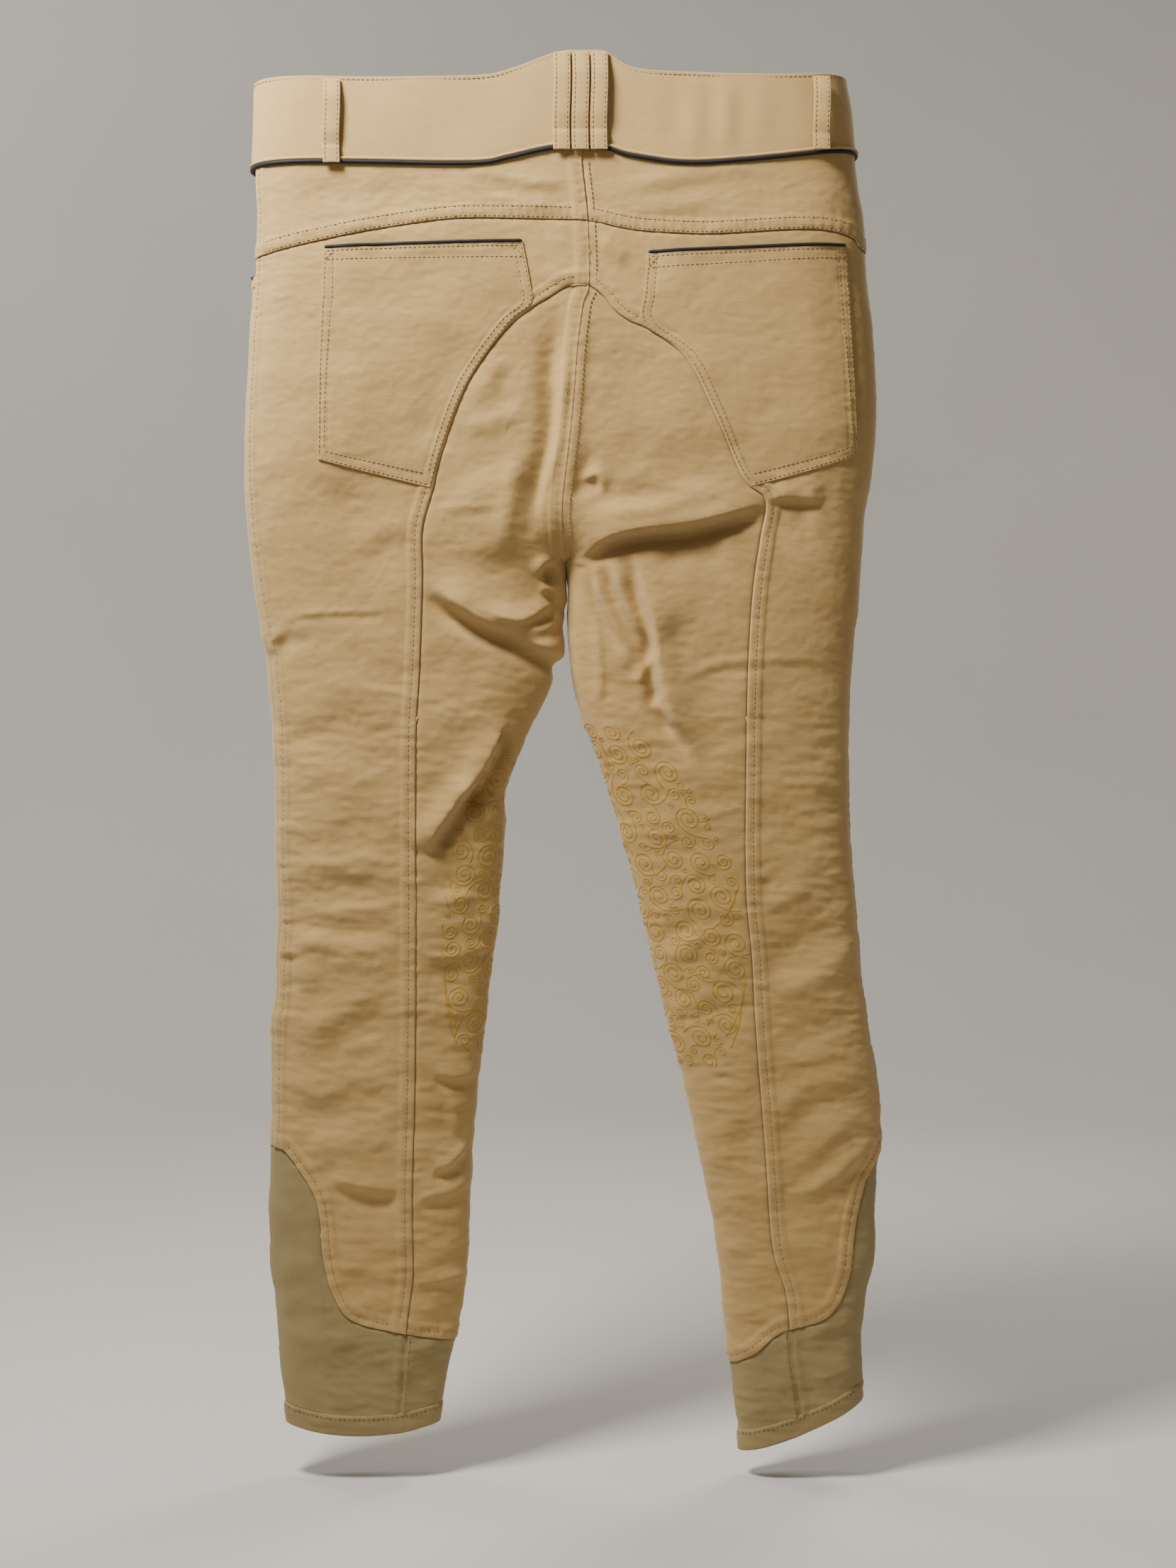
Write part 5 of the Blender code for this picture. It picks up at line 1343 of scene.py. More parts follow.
def make_hem(side):
    """The hem: a turned-up band with a rounded foot and two sewn rows."""
    count = 240
    angles = np.linspace(0.0, TURN, count + 1)
    share = np.concatenate([np.linspace(0.0, 0.9, 10), [0.95, 1.0, 1.0, 1.0]])
    lift = HEM_DEPTH * (1 - share)
    z = hem_z(side, angles[None, :], 0.0) + lift[:, None]
    stand = 1.0 * MM * (1 - np.exp(-share * HEM_DEPTH / (0.6 * MM)))
    stand[-3:] = (0.7 * MM, 0.1 * MM, -1.6 * MM)
    sway = 0.25 * MM * np.sin(TURN * np.arange(count + 1) / 9.0 + 2 * np.sin(angles * 5))
    rows = np.exp(-(((lift - 12.3 * MM) / (1.1 * MM)) ** 2))
    rise = stand[:, None] - 0.4 * MM * rows[:, None] + sway[None, :] * rows[:, None]
    z[-2] -= 0.3 * MM
    z[-1] += 1.0 * MM
    mesh = grid_mesh(f"knit_hem_{side}", cloth_at(side, np.broadcast_to(angles, z.shape), z, rise),
                     flip=side == "right")
    weld(mesh)
    made = thicken(link(f"knit_hem_{side}", mesh, "knit"), 1.4 * MM)
    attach(made, f"calf_{side}")
    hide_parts(f"hem_{side}")
    return made


# Stitches


def capsule():
    """A stitch along X: rounded, a little arched, with its ends sunk."""
    along = np.array([-1.0, -0.62, 0.0, 0.62, 1.0]) * STITCH_LENGTH / 2
    width = np.array([0.35, 0.95, 1.0, 0.95, 0.35]) * STITCH_RADIUS
    sink = -0.16 * MM * np.array([1.0, 0.3, 0.0, 0.3, 1.0])
    turns = np.arange(6) * TURN / 6
    points = np.array([(x, w * math.cos(t), w * math.sin(t) + s)
                       for x, w, s in zip(along, width, sink) for t in turns])
    quads = [(6 * k + i, 6 * k + (i + 1) % 6, 6 * k + 6 + (i + 1) % 6, 6 * k + 6 + i)
             for k in range(4) for i in range(6)]
    caps = [(0, 5, 4, 3), (0, 3, 2, 1), (24, 25, 26, 27), (24, 27, 28, 29)]
    return points, np.array(quads + caps)


STITCH = capsule()


class Stitches:
    """All the stitches of one group, gathered as their middles, ways and up directions."""

    def __init__(self):
        self.rows = []

    def add(self, run, lift, low=-2.0, high=1.0):
        """Stitches along a line, where the height is between low and high."""
        fine = np.linspace(0.0, 1.0, max(20, int(run.length / 0.001)))
        places = run.at(fine)
        spots = cloth_at(run.side, places[:, 0], places[:, 1], lift)
        metres = metres_along(spots)
        middles = np.arange(0.5 * STITCH_STEP, metres[-1] - 0.4 * STITCH_STEP, STITCH_STEP)
        if not len(middles):
            return
        ends = [follow(spots, metres, middles + gap)
                for gap in (-STITCH_LENGTH / 2, STITCH_LENGTH / 2)]
        at = np.interp(middles, metres, fine)
        where = run.at(at)
        up = normal(run.side, where[:, 0], where[:, 1])
        centre = (ends[0] + ends[1]) / 2
        way = ends[1] - ends[0]
        way /= np.linalg.norm(way, axis=1, keepdims=True)
        keep = (centre[:, 2] > low) & (centre[:, 2] <= high)
        self.rows.append((centre[keep], way[keep], up[keep]))

    def add_free(self, points, ups):
        """Stitches along points in space."""
        points, ups = np.asarray(points, float), np.asarray(ups, float)
        metres = metres_along(points)
        middles = np.arange(0.6 * STITCH_STEP, metres[-1] - 0.5 * STITCH_STEP, STITCH_STEP)
        before, middle, after = (follow(points, metres, middles + gap)
                                 for gap in (-0.5 * MM, 0.0, 0.5 * MM))
        way = (after - before) / np.linalg.norm(after - before, axis=1, keepdims=True)
        self.rows.append((middle, way, follow(ups, metres, middles)))

    def build(self, name, look="thread"):
        centre, way, up = (np.concatenate([row[k] for row in self.rows]) for k in range(3))
        side = np.cross(up, way)
        side /= np.linalg.norm(side, axis=1, keepdims=True)
        up = np.cross(way, side)
        shape, quads = STITCH
        points = centre[:, None]
        for k, direction in enumerate((way, side, up)):
            points = points + shape[None, :, k, None] * direction[:, None]
        faces = quads[None] + (np.arange(len(centre)) * len(shape))[:, None, None]
        return link(name, quad_mesh(name, points.reshape(-1, 3), faces.reshape(-1, 4)), look)


# Slabs, cords and straps


def border_distance(points):
    """How far each point of a grid is from the grid's rounded borders."""
    away = np.full(points.shape[:2], 1.0)
    for axis in (1, 0):
        run = metres_along(points, axis)
        away = np.minimum(away, np.minimum(run, np.take(run, [-1], axis=axis) - run))
    return away


def slab(name, points, ups, thickness, look, flip=False):
    """A closed, soft-edged sheet whose outer face goes through a grid of points."""
    radius = thickness / 2
    away = np.clip(border_distance(points) / radius, 0.0, 1.0)
    full = np.sqrt(1 - (1 - away) ** 2)[..., None]
    outer = points - ups * radius * (1 - full)
    inner = points - ups * radius * (1 + full)
    rows, columns = points.shape[:2]
    index = np.arange(rows * columns).reshape(rows, columns)
    quads = np.stack([index[:-1, :-1], index[1:, :-1], index[1:, 1:], index[:-1, 1:]],
                     axis=-1).reshape(-1, 4)
    if flip:
        quads = quads[:, ::-1]
    both = np.concatenate([quads, quads[:, ::-1] + rows * columns])
    stacked = np.concatenate([outer.reshape(-1, 3), inner.reshape(-1, 3)])
    mesh = quad_mesh(name, stacked, both)
    weld(mesh)
    return link(name, mesh, look)


def edge_spread(length, step, radius):
    """Distances along a strip, close together round its two soft edges."""
    near = radius * np.array([0.0, 0.08, 0.3, 0.65, 1.0, 1.8])
    middle = np.linspace(near[-1], length - near[-1], max(3, int(length / step)))[1:-1]
    return np.concatenate([near, middle, length - near[::-1]])


def tube(name, points, radius, look, sides=10):
    """A cord along points, with rounded ends."""
    points = np.asarray(points, float)
    ways = np.gradient(points, axis=0)
    ways /= np.linalg.norm(ways, axis=1, keepdims=True)
    up = np.array([0.0, 0.0, 1.0])
    first = np.cross(ways, up)
    low = np.linalg.norm(first, axis=1) < 0.2
    first[low] = np.cross(ways[low], (1.0, 0.0, 0.0))
    first /= np.linalg.norm(first, axis=1, keepdims=True)
    second = np.cross(ways, first)
    metres = metres_along(points)
    share = np.clip(np.minimum(metres, metres[-1] - metres) / radius, 0.0, 1.0)
    width = radius * np.maximum(np.sqrt(1 - (1 - share) ** 2), 0.02)
    turns = np.arange(sides) * TURN / sides
    ring = (first[:, None] * np.cos(turns)[None, :, None]
            + second[:, None] * np.sin(turns)[None, :, None])
    grid = points[:, None] + ring * width[:, None, None]
    mesh = grid_mesh(name, grid, closed=True)
    cap(mesh)
    return link(name, mesh, look)


# Waistband


def band_columns(side, first, last, step=0.0020):
    """Places of the band's top and bottom edges between two angles."""
    fine = np.linspace(first, last, 200)
    metres = metres_along(skin(side, fine, np.full(200, -0.02)))
    at = edge_spread(metres[-1], step, BAND_CLOTH / 2)
    angles = np.interp(at, metres, fine)
    x = skin(side, angles, np.full(len(angles), -0.02))[:, 0]
    behind = 0.5 + 0.5 * np.tanh(np.sin(angles) * 6 + 2.2)
    top = behind * band_top_z(x) + (1 - behind) * FRONT_TOP
    bottom = behind * band_bottom_z(x) + (1 - behind) * FRONT_BOTTOM
    return angles, top, bottom


def band_rise(down, height, along, seed):
    """The band's height: dents at its sewn rows and slow waves between them."""
    waves = 0.35 * MM * np.sin(along / 0.023 + seed) * np.sin(down / height * math.pi)
    waves += 0.25 * MM * np.sin(along / 0.0135 + 2 * seed + 3 * down / height)
    pleats = np.sin(along / 0.0046 + 1.1 * np.sin(along / 0.019)) * np.sin(down / height * math.pi)
    waves += 0.55 * MM * pleats * np.exp(-(((along - 0.115) / 0.045) ** 2)) * (seed > 1.5)
    top_row = np.exp(-(((down - BAND_TOP_ROW) / (1.0 * MM)) ** 2))
    foot = np.exp(-(((height - down - 2.2 * MM) / (1.0 * MM)) ** 2))
    sway = np.sin(TURN * along / 0.0055 + 2 * np.sin(along / 0.013))
    return waves - (0.35 + 0.12 * sway) * MM * top_row - (0.30 + 0.1 * sway) * MM * foot


def band_grid(side, first, last):
    angles, top, bottom = band_columns(side, first, last)
    height = BAND_HEIGHT
    rows = edge_spread(height, 0.0022, BAND_CLOTH / 2) / height
    z = top[None, :] * (1 - rows[:, None]) + bottom[None, :] * rows[:, None]
    angle = np.broadcast_to(angles, z.shape)
    spots = skin(side, angle, z)
    along = spots[..., 0]
    rise = BAND_STAND + band_rise(rows[:, None] * height, height, along, 1.0 + (side == "right"))
    ups = normal(side, angle, z)
    return cloth_at(side, angle, z, rise), ups


def make_band_back():
    left, left_ups = band_grid("left", SIDE_ANGLE["left"], math.pi)
    right, right_ups = band_grid("right", math.pi, SIDE_ANGLE["right"])
    keep = 5
    points = np.concatenate([left[:, :-keep], right[:, keep:]], axis=1)
    ups = np.concatenate([left_ups[:, :-keep], right_ups[:, keep:]], axis=1)
    made = slab("cloth_waistband_back", points, ups, BAND_CLOTH, "twill_band")
    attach(made, "seat_and_waist")
    finish_sheet(made, "band_back", "waistband_back")


def fly_angle(side):
    return float(angle_at(side, FLY_X, FRONT_BOTTOM, "front")) - TURN


def make_band_front(side):
    start = fly_angle(side) + (0.012 if side == "left" else 0.002) / BAND_WRAP
    points, ups = band_grid(side, start, SIDE_ANGLE[side])
    made = slab(f"cloth_waistband_front_{side}", points, ups, BAND_CLOTH, "twill_band",
                flip=side == "right")
    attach(made, "seat_and_waist")
    finish_sheet(made, "band_front", f"waistband_front_{side}")


def whole_foot(drop, lift):
    """Points along the band's lower edge, from the fly round the back to the fly."""
    spots = []
    left = band_foot("left", fly_angle("left") + 0.016 / BAND_WRAP, math.pi - 0.01, 260)
    right = band_foot("right", math.pi - 0.01, fly_angle("right") + 0.010 / BAND_WRAP, 260)
    for side, run in (("left", left), ("right", right)):
        spots.append(cloth_at(side, run[:, 0], run[:, 1] + drop, lift))
    return np.concatenate(spots)


def make_band_pipings():
    dark = tube("cord_waistband_piping", whole_foot(-1.3 * MM, 0.9 * MM), 1.55 * MM, "piping")
    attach(dark, "seat_and_waist")
    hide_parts("waistband_piping")
    fold = tube("cloth_waistband_fold", whole_foot(0.9 * MM, 1.5 * MM), 1.25 * MM, "twill_band")
    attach(fold, "seat_and_waist")


# Belt loops


def make_loop(name, x, top, bottom, face, stand=2.6 * MM):
    """A strap that stands off the waistband between its two sewn ends."""
    side = "left" if x < 0.0196 else "right"
    length = top - bottom
    rows = edge_spread(length, 0.0016, LOOP_CLOTH / 2)
    columns = edge_spread(LOOP_WIDTH, 0.0012, LOOP_CLOTH / 2)
    out = -1.0 if face == "back" else 1.0
    across = (columns - LOOP_WIDTH / 2) * -out
    z = np.repeat((top - rows)[:, None], len(columns), axis=1)
    lean = 0.4 * MM * np.sin(rows / length * math.pi * 2)
    xs = x + across[None, :] + lean[:, None]
    angle = angle_at(side, np.clip(xs, -0.21, 0.226), z, face)
    ground = skin(side, angle, z)[..., 1] + out * 1.6 * MM
    ground = np.repeat((out * (ground * out).max(axis=1))[:, None], len(columns), axis=1)
    t = rows / length
    arched = np.minimum(1.0, 1.35 * np.sin(np.pi * np.minimum(t / 0.86, 1)))
    lift = LOOP_CLOTH + 0.3 * MM + stand * arched
    lift = np.where(t > 0.82, np.maximum(lift, 3.2 * MM), lift)
    dents = np.exp(-(((np.abs(across) - LOOP_ROW) / (0.8 * MM)) ** 2))
    bulge = 0.25 * MM * (1 - (across / (LOOP_WIDTH / 2)) ** 2) - 0.22 * MM * dents
    points = np.stack([xs, ground + out * (lift[:, None] + bulge[None, :]), z], axis=-1)
    ups = np.zeros_like(points)
    ups[..., 1] = out
    made = slab(f"cloth_{name}", points, ups, LOOP_CLOTH, "twill_band")
    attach(made, "seat_and_waist")
    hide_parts(name)
    for row in (-LOOP_ROW, LOOP_ROW):
        line = points[2:-2, np.argmin(np.abs(across - row))].copy()
        line[:, 0] = x + row + lean[2:-2]
        WAIST.add_free(line + (0, out * 0.12 * MM, 0), np.tile((0.0, out, 0.0), (len(line), 1)))


LOOPS = (
    ("belt_loop_centre_left", 0.0060, 0.0262, -0.0428, "back"),
    ("belt_loop_centre_middle", 0.0192, 0.0262, -0.0428, "back"),
    ("belt_loop_centre_right", 0.0324, 0.0262, -0.0428, "back"),
    ("belt_loop_back_left", -0.1560, 0.0076, -0.0520, "back"),
    ("belt_loop_back_right", 0.1893, 0.0105, -0.0420, "back"),
    ("belt_loop_front_left", -0.1000, 0.0040, -0.0498, "front"),
    ("belt_loop_front_right", 0.1120, 0.0040, -0.0498, "front"),
)


# Back pockets


def pocket_sides(side):
    outer, inner = (np.array([(float(angle_at(side, x, z)), z) for x, z in smooth(run)])
                    for run in POCKET[side])
    top = np.linspace(outer[0], inner[0], 60)
    bottom = np.linspace(outer[-1], inner[-1], 60)
    return top, bottom, outer, inner


def make_pocket(side):
    top, bottom, outer, inner = pocket_sides(side)
    runs = [Run(side, line) for line in (top, bottom, outer, inner)]
    tall, wide = runs[2].length, runs[0].length
    rows = edge_spread(tall, 0.0015, POCKET_CLOTH / 2) / tall
    columns = edge_spread(wide, 0.0015, POCKET_CLOTH / 2) / wide
    u, v = np.meshgrid(columns, rows)
    places = coons(runs, u, v)
    angle, z = places[..., 0], places[..., 1]
    spots = skin(side, angle, z)
    edges = [runs[1], runs[2], runs[3]]
    found = [run.nearest(spots, POCKET_REACH) for run in edges]
    away = np.min([distance for distance, _ in found], axis=0)
    along = found[1][1]
    from_top = runs[0].nearest(spots, POCKET_REACH)[0]
    open_share = 1 - ramp(from_top, 0.0, 0.045)
    rise = POCKET_CLOTH + 0.25 * MM + POCKET_BULGE * ramp(away, 7 * MM, 34 * MM)
    rise += open_share * POCKET_OPEN * ramp(away, 0.0, 22 * MM)
    sway = np.sin(TURN * along / 0.0062)
    for row in POCKET_ROWS:
        rise -= 0.30 * MM * np.exp(-(((away - row) / (0.9 * MM)) ** 2))
        rise += 0.12 * MM * sway * np.exp(-(((away - row) / (3.4 * MM)) ** 2))
    for row in POCKET_TOP_ROWS:
        rise -= 0.28 * MM * np.exp(-(((from_top - row) / (0.9 * MM)) ** 2))
    points = cloth_at(side, angle, z, rise)
    made = slab(f"cloth_back_pocket_{side}", points, normal(side, angle, z), POCKET_CLOTH,
                "twill", flip=side == "right")
    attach(made, "seat_and_waist")
    finish_sheet(made, "back_pocket", f"back_pocket_{side}")
    lip = points[0, 4:-4] + (0, 0, 0.9 * MM) - normal(side, angle, z)[0, 4:-4] * 0.5 * MM
    cord = tube(f"cord_pocket_piping_{side}", lip, 1.30 * MM, "piping")
    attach(cord, "seat_and_waist")
    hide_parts(f"back_pocket_piping_{side}")
    lay = RowsOn(points, normal(side, angle, z), u * wide, v * tall)
    for row in POCKET_ROWS:
        lay.line((row, 0.0015), (row, tall - row))
        lay.line((wide - row, 0.0015), (wide - row, tall - row))
        lay.line((row, tall - row), (wide - row, tall - row))
    for row in POCKET_TOP_ROWS:
        lay.line((1.5 * MM, row), (wide - 1.5 * MM, row))
    corner = POCKET_TOP_ROWS[1]
    lay.line((ROW_NEAR, corner), (corner, 1.5 * MM))
    lay.line((wide - ROW_NEAR, corner), (wide - corner, 1.5 * MM))


class RowsOn:
    """Stitch rows over a grid of points, given in metres across and down it."""

    def __init__(self, points, ups, across, down):
        self.points, self.ups = points, ups
        self.across, self.down = across[0], down[:, 0]

    def line(self, first, last):
        t = np.linspace(0.0, 1.0, 140)
        x = first[0] + (last[0] - first[0]) * t
        y = first[1] + (last[1] - first[1]) * t
        i = np.interp(x, self.across, np.arange(len(self.across)))
        j = np.interp(y, self.down, np.arange(len(self.down)))
        spots, ups = (bilinear(grid, i, j) for grid in (self.points, self.ups))
        WAIST.add_free(spots + ups * 0.12 * MM, ups)


# Rows of stitches on the panels


def sign_of(side):
    return 1.0 if side == "left" else -1.0


def sew_side(side):
    """Rows along one side's seams, split between the waist group and the groups above and below
    mid-thigh.
    """
    seams, sign = SEAMS[side], sign_of(side)
    lift = 0.62 * MM
    for row in (ROW_NEAR, ROW_FAR):
        WAIST.add(beside(seams["yoke"], sign * row), lift)
    leg_rows = [
        (beside(seams["back"], -sign * ROW_LEG), 1.0),
        (beside(seams["side"], sign * ROW_LEG), -0.052),
        (beside(Run(side, seams["inseam"].places - (TURN, 0)), sign * ROW_LEG), 1.0),
    ]
    for run, high in leg_rows:
        UPPER[side].add(run, lift, SPLIT_Z, high)
        LOWER[side].add(run, lift, -2.0, SPLIT_Z)
    UPPER[side].add(beside(seams["centre"], -sign * ROW_CENTRE), lift, -1.0, CENTRE_TOP)
    fly = Run(side, fly_run(side))
    for row in (2.4 * MM, 7 * MM):
        UPPER[side].add(beside(fly, sign * row), lift, -1.0, FRONT_BOTTOM)
    mouth = Run(side, mouth_run(side))
    for row in (1.8 * MM, 7.5 * MM):
        UPPER[side].add(beside(mouth, -sign * row), lift)
    sock = Run(side, sock_runs[side])
    LOWER[side].add(beside(sock, sign * ROW_LEG), lift)


def sew_band():
    """Rows along the band's top and foot, behind and in front of each side seam."""
    edges = ((band_top_z, FRONT_TOP, -BAND_TOP_ROW), (band_bottom_z, FRONT_BOTTOM, 2.2 * MM))
    for side in SIDES:
        seam = SIDE_ANGLE[side]
        for shape, front, drop in edges:
            for ends in ((seam, math.pi - 0.02), (fly_angle(side) + 0.012 / BAND_WRAP, seam)):
                row = band_line(side, shape, front, *ends, 160)
                row[:, 1] += drop
                WAIST.add(Run(side, row), BAND_STAND - 0.15 * MM)


def sew_socks(side, ridge):
    group = Stitches()
    sign = sign_of(side)
    group.add(beside(ridge, sign * 3.0 * MM), 0.75 * MM)
    angles = np.linspace(0.0, TURN, 300)
    for lift in (12.3 * MM, 11.0 * MM):
        line = Run(side, np.stack([angles, hem_z(side, angles, lift)], axis=1))
        group.add(line, 0.80 * MM)
    made = group.build(f"stitches_hem_{side}", "knit_thread")
    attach(made, f"calf_{side}")


# The print on the knees: seeded curls that fill a patch on each leg's inner side


class Patch:
    """Metres from the inner fold and heights, turned into places on a leg."""

    def __init__(self, side):
        self.side = side
        self.z = np.linspace(-0.72, -0.42, 76)
        self.angles = np.linspace(math.pi + 0.75, 0.9, 220)
        grid = skin(side, self.angles[None, :], self.z[:, None])
        run = metres_along(grid, axis=1)
        at_fold = [float(np.interp(math.pi, self.angles[::-1], row[::-1])) for row in run]
        self.run = run - np.array(at_fold)[:, None]

    def places(self, s, z):
        j = np.clip((z - self.z[0]) / (self.z[1] - self.z[0]), 0, len(self.z) - 1.001)
        k = j.astype(int)
        t = j - k
        angles = []
        for value, row, share in zip(s, k, t):
            run = self.run[row] * (1 - share) + self.run[row + 1] * share
            angles.append(np.interp(value, run, self.angles))
        return np.array(angles), z


def spiral(centre, radius, turns, start, hand):
    t = np.linspace(0.0, 1.0, int(26 * turns))
    angle = start + hand * TURN * turns * t
    size = radius * (1 - t) ** 0.8
    return np.stack([centre[0] + size * np.cos(angle), centre[1] + size * np.sin(angle)], axis=1)


def tail(curl, reach, bend):
    """A stem that runs on from a curl's outer end."""
    way = curl[0] - curl[2]
    way /= np.linalg.norm(way)
    aside = np.array([-way[1], way[0]]) * bend
    t = np.linspace(0.0, 1.0, 14)[1:, None]
    return curl[0] + way * reach * t + aside * reach * t**2


def inside_print(side, s, z):
    top, bottom, low, high = PRINT[side]
    t = np.clip((top - z) / (top - bottom), 0.0, 1.0)
    swell = np.sin(math.pi * np.clip(0.06 + 0.90 * t, 0.0, 1.0)) ** 0.45
    return (z < top) & (z > bottom) & (s > low) & (s < high * swell)


def make_print(side):
    random = np.random.default_rng(21 if side == "left" else 22)
    patch = Patch(side)
    top, bottom, low, high = PRINT[side]
    placed = []
    for size in (8.2, 7.2, 6.2, 5.2, 4.3, 3.4, 2.7, 2.1):
        for _ in range(420):
            s, z = random.uniform(low, high), random.uniform(bottom, top)
            radius = size * MM * random.uniform(0.92, 1.08)
            clear = all(math.hypot(s - a, z - b) > radius + r + 0.3 * MM for a, b, r in placed)
            reach = radius * 0.85
            within = (inside_print(side, s + reach, z) and inside_print(side, s, z + reach)
                      and inside_print(side, s, z - reach))
            if clear and within:
                placed.append((s, z, radius))
    lines = []
    for s, z, radius in placed:
        start, hand = random.uniform(0, TURN), random.choice((-1.0, 1.0))
        curl = spiral((s, z), radius, 1.2 + radius / (4.2 * MM) * 0.55, start, hand)
        width = 0.52 + radius / (8 * MM) * 0.34
        stem = tail(curl, radius * random.uniform(1.1, 1.9), -hand * random.uniform(0.35, 0.8))
        lines.append((np.vstack([stem[::-1], curl]), width))
    lines += print_leaves(side)
    ribbons(side, patch, lines)


def print_leaves(side):
    """Longer tapering strokes along the print's free edge and from its foot."""
    top, bottom, _, high = PRINT[side]
    made = []
    for z, length, lean in ((bottom + 0.062, 0.040, 0.10), (bottom + 0.050, 0.046, 0.16),
                            (bottom + 0.128, 0.030, 0.08)):
        t = np.linspace(0.0, 1.0, 30)
        share = (top - z) / (top - bottom)
        edge = high * math.sin(math.pi * (0.06 + 0.90 * share)) ** 0.45
        s = edge * (0.97 - lean * t - 0.22 * t**2)
        made.append((np.stack([s, z - length * t], axis=1), 1.1))
    return made


def ribbons(side, patch, lines):
    """Flat raised strokes along lines on the leg, narrow at both ends."""
    points, quads, total = [], [], 0
    for line, width in lines:
        kept = inside_print(side, line[:, 0] - 1.5 * MM, line[:, 1])
        line = line[kept & (line[:, 0] > PRINT[side][2])]
        if len(line) < 6:
            continue
        metres = metres_along(line)
        count = max(6, int(metres[-1] / 0.0007))
        at = np.linspace(0.0, metres[-1], count)
        line = follow(line, metres, at)
        ways = np.gradient(line, axis=0)
        ways /= np.linalg.norm(ways, axis=1, keepdims=True) + 1e-12
        aside = np.stack([-ways[:, 1], ways[:, 0]], axis=1)
        taper = ramp(np.minimum(at, (metres[-1] - at) * 1.5), -0.0006, 0.0035)
        half = width * MM * taper[:, None]
        for offset, lift in ((-1.0, -0.10), (-0.62, 0.14), (0.62, 0.14), (1.0, -0.10)):
            spot = line + aside * half * offset
            angle, z = patch.places(spot[:, 0], spot[:, 1])
            points.append(cloth_at(side, angle, z, lift * MM))
        index = total + np.arange(4 * count).reshape(4, count)
        for k in range(3):
            quads.append(np.stack([index[k, :-1], index[k + 1, :-1], index[k + 1, 1:],
                                   index[k, 1:]], axis=1))
        total += 4 * count
    mesh = quad_mesh(f"knee_print_{side}", np.concatenate(points), np.concatenate(quads))
    outward(mesh)
    made = link(f"knee_print_{side}", mesh, "silicone")
    bend_at_knee(made)
    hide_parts(f"knee_grip_upper_{side}", f"knee_grip_lower_{side}")


def outward(mesh):
    """Turns the faces so that they point backwards, away from the leg's middle."""
    if np.mean([face.normal.y for face in mesh.polygons]) > 0:
        mesh.flip_normals()


# Zip, fly and tab


def grid_on_wall(x, z, y, lift):
    """A grid of points on a plane that faces +Y, with its rows going down."""
    xs, zs = np.meshgrid(x[::-1], z[::-1])
    return np.stack([xs, y + lift(xs, zs), zs], axis=-1)


def wall_slab(name, low, high, thickness, look, step, lift):
    """A slab whose outer face is the +Y face of a box."""
    x, z = (low[k] + edge_spread(high[k] - low[k], step, thickness / 2) for k in (0, 2))
    points = grid_on_wall(x, z, high[1], lift)
    ups = np.zeros_like(points)
    ups[..., 1] = 1.0
    return slab(name, points, ups, thickness, look)


def block_mesh(boxes, bevel):
    """One mesh of small boxes, given as middles and sizes, with bevelled edges."""
    work = bmesh.new()
    for centre, size in boxes:
        made = bmesh.ops.create_cube(work, size=1.0)["verts"]
        for vert in made:
            vert.co = Vector(centre) + Vector(np.array(vert.co) * size)
    bmesh.ops.bevel(work, geom=list(work.edges), offset=bevel, segments=2, affect="EDGES",
                    profile=0.6)
    mesh = bpy.data.meshes.new("blocks")
    work.to_mesh(mesh)
    work.free()
    mesh.shade_smooth()
    return mesh


def make_zip():
    for side in SIDES:
        low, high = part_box(f"zip_tape_{side}")
        made = wall_slab(f"cloth_zip_tape_{side}", low, high, 0.8 * MM, "tape", 0.0014,
                         lambda x, z: 0.12 * MM * np.cos(TURN * (x - FLY_X) / 0.0027))
        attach(made, "seat_and_waist")
        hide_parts(f"zip_tape_{side}")
    low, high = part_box("zip_teeth")
    middle_y = (low[1] + high[1]) / 2
    boxes = []
    for k, z in enumerate(np.arange(low[2] + 0.001, high[2] - 0.0008, 0.0009)):
        sign = 1.0 if k % 2 else -1.0
        boxes.append(((FLY_X + sign * 0.85 * MM, middle_y, z), (0.0033, 0.0019, 0.00068)))
        boxes.append(((FLY_X + sign * 0.25 * MM, middle_y, z), (0.0011, 0.0015, 0.00085)))
    teeth = link("zip_row_of_teeth", block_mesh(boxes, 0.00012), "metal")
    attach(teeth, "seat_and_waist")
    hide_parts("zip_teeth")
    low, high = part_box("fly_shield")
    shield = wall_slab("cloth_fly_shield", low, high, 1.2 * MM, "twill", 0.0026,
                       lambda x, z: 0.25 * MM * np.sin(z / 0.011) * np.cos(x / 0.009))
    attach(shield, "seat_and_waist")
    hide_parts("fly_shield")


def make_tab():
    low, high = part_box("waistband_tab")

    def lift(x, z):
        away = np.minimum(np.minimum(x - low[0], high[0] - x), np.minimum(z - low[2], high[2] - z))
        dent = np.exp(-(((away - 2.2 * MM) / (0.9 * MM)) ** 2))
        return -0.28 * MM * dent + 0.12 * MM * np.sin(x / 0.008) * ramp(away, 3 * MM, 9 * MM)

    made = wall_slab("cloth_waistband_tab", low, high, high[1] - low[1], "twill_band", 0.0016,
                     lift)
    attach(made, "waist_tab")
    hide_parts("waistband_tab")
    group = Stitches()
    row = 2.2 * MM
    y = high[1] - 0.28 * MM + 0.12 * MM
    corners = [(low[0] + row, high[2] - row), (low[0] + row, low[2] + row),
               (high[0] - row, low[2] + row), (high[0] - row, high[2] - row),
               (low[0] + row, high[2] - row)]
    for (xa, za), (xb, zb) in zip(corners, corners[1:]):
        line = np.stack([np.linspace(xa, xb, 60), np.full(60, y), np.linspace(za, zb, 60)], axis=1)
        group.add_free(line, np.tile((0.0, 1.0, 0.0), (60, 1)))
    sewn = group.build("stitches_tab")
    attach(sewn, "waist_tab")


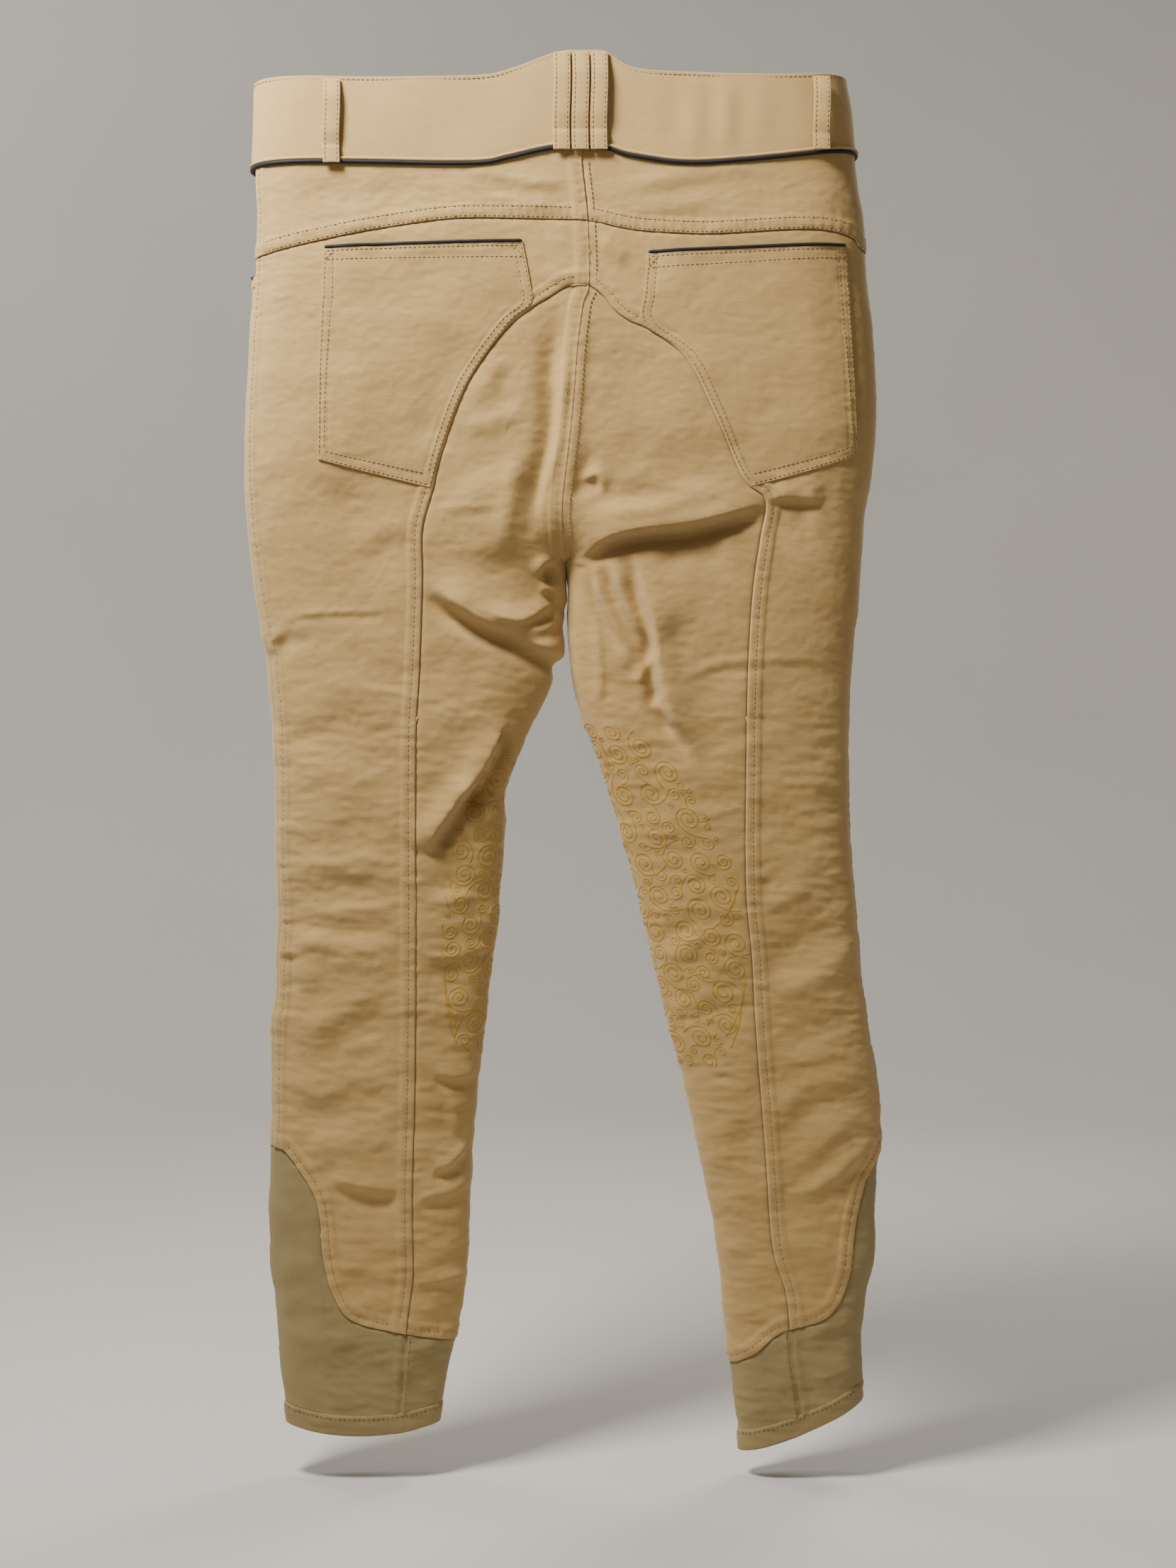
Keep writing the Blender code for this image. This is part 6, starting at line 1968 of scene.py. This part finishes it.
def make_mouth_piping(side):
    run = Run(side, mouth_run(side))
    places = run.at(np.linspace(0.03, 0.97, 120))
    lip = cloth_at(side, places[:, 0], places[:, 1], 0.5 * MM)
    cord = tube(f"cord_mouth_piping_{side}", lip, 1.15 * MM, "piping")
    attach(cord, "seat_and_waist")
    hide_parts(f"front_pocket_piping_{side}")


# Everything is made here

WAIST = Stitches()
UPPER = {side: Stitches() for side in SIDES}
LOWER = {side: Stitches() for side in SIDES}

for side in SIDES:
    make_yoke(side)
    make_hip_back(side)
    make_seat(side)
    make_front(side)
    make_pocket_bag(side)
    make_mouth_piping(side)
    make_lower_panels(side)
    sew_socks(side, make_sock(side))
    make_hem(side)
    make_band_front(side)
    make_pocket(side)
    make_print(side)
    sew_side(side)
make_band_back()
make_band_pipings()
for loop in LOOPS:
    make_loop(*loop)
make_zip()
make_tab()
sew_band()
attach(WAIST.build("stitches_waist"), "seat_and_waist")
for side in SIDES:
    bend_at_hip(UPPER[side].build(f"stitches_upper_{side}"))
    bend_at_knee(LOWER[side].build(f"stitches_lower_{side}"))

for node in METAL_NODES:
    for slot in bpy.data.objects[node].material_slots:
        slot.material = LOOKS["metal"]


# Camera, light and floor


def aim(made, spot, target):
    made.location = spot
    made.rotation_euler = (Vector(target) - Vector(spot)).to_track_quat("-Z", "Y").to_euler()
    bpy.context.scene.collection.objects.link(made)
    return made


def area_light(name, spot, target, size, energy, colour):
    data = bpy.data.lights.new(name, "AREA")
    data.shape = "RECTANGLE"
    data.size, data.size_y = size
    data.energy = energy
    data.color = colour
    return aim(bpy.data.objects.new(name, data), spot, target)


camera_data = bpy.data.cameras.new("camera")
camera_data.lens = 50.0
camera_data.sensor_width = 36.0
camera_data.sensor_fit = "AUTO"
camera = aim(bpy.data.objects.new("camera", camera_data), (0.0244, -1.565, -0.489),
             (0.0244, 0.0, -0.489))
bpy.context.scene.camera = camera

area_light("key", (-0.52, -0.45, 0.55), (0.02, 0.0, -0.15), (0.30, 0.30), 31.0, (1.0, 0.97, 0.92))
area_light("fill", (1.5, -1.3, -0.3), (0.0, 0.0, -0.5), (1.4, 1.4), 0.6, (0.95, 0.97, 1.0))
area_light("wall_wash", (-1.3, 0.9, 1.5), (-0.6, 2.6, 0.15), (0.9, 0.9), 26.0, (1.0, 0.98, 0.95))
area_light("back_key", (0.75, 1.0, 0.85), (0.0, 0.0, -0.4), (0.6, 0.6), 14.0, (1.0, 0.97, 0.93))

world = bpy.data.worlds.new("world")
world.use_nodes = True
world.node_tree.nodes["Background"].inputs["Color"].default_value = (0.80, 0.79, 0.77, 1.0)
world.node_tree.nodes["Background"].inputs["Strength"].default_value = 0.09
bpy.context.scene.world = world


def make_floor():
    """A round pale floor that curves up into a wall, far outside every camera's place."""
    turns = np.arange(96) * TURN / 96
    bend = np.linspace(0.0, math.pi / 2, 16)
    radius = np.concatenate([[0.02, 0.6, 1.2, 1.7], 1.75 + 1.0 * np.sin(bend), [2.75, 2.75]])
    rise = np.concatenate([[0.0] * 4, 1.0 - 1.0 * np.cos(bend), [1.8, 2.6]])
    grid = np.stack([radius[:, None] * np.cos(turns), radius[:, None] * np.sin(turns),
                     np.broadcast_to(FLOOR_Z + rise[:, None], (len(radius), 96))], axis=-1)
    mesh = grid_mesh("floor", grid, closed=True)
    cap(mesh, 0.1)
    mesh.materials.append(floor_look())
    floor = bpy.data.objects.new("floor", mesh)
    bpy.context.scene.collection.objects.link(floor)


make_floor()
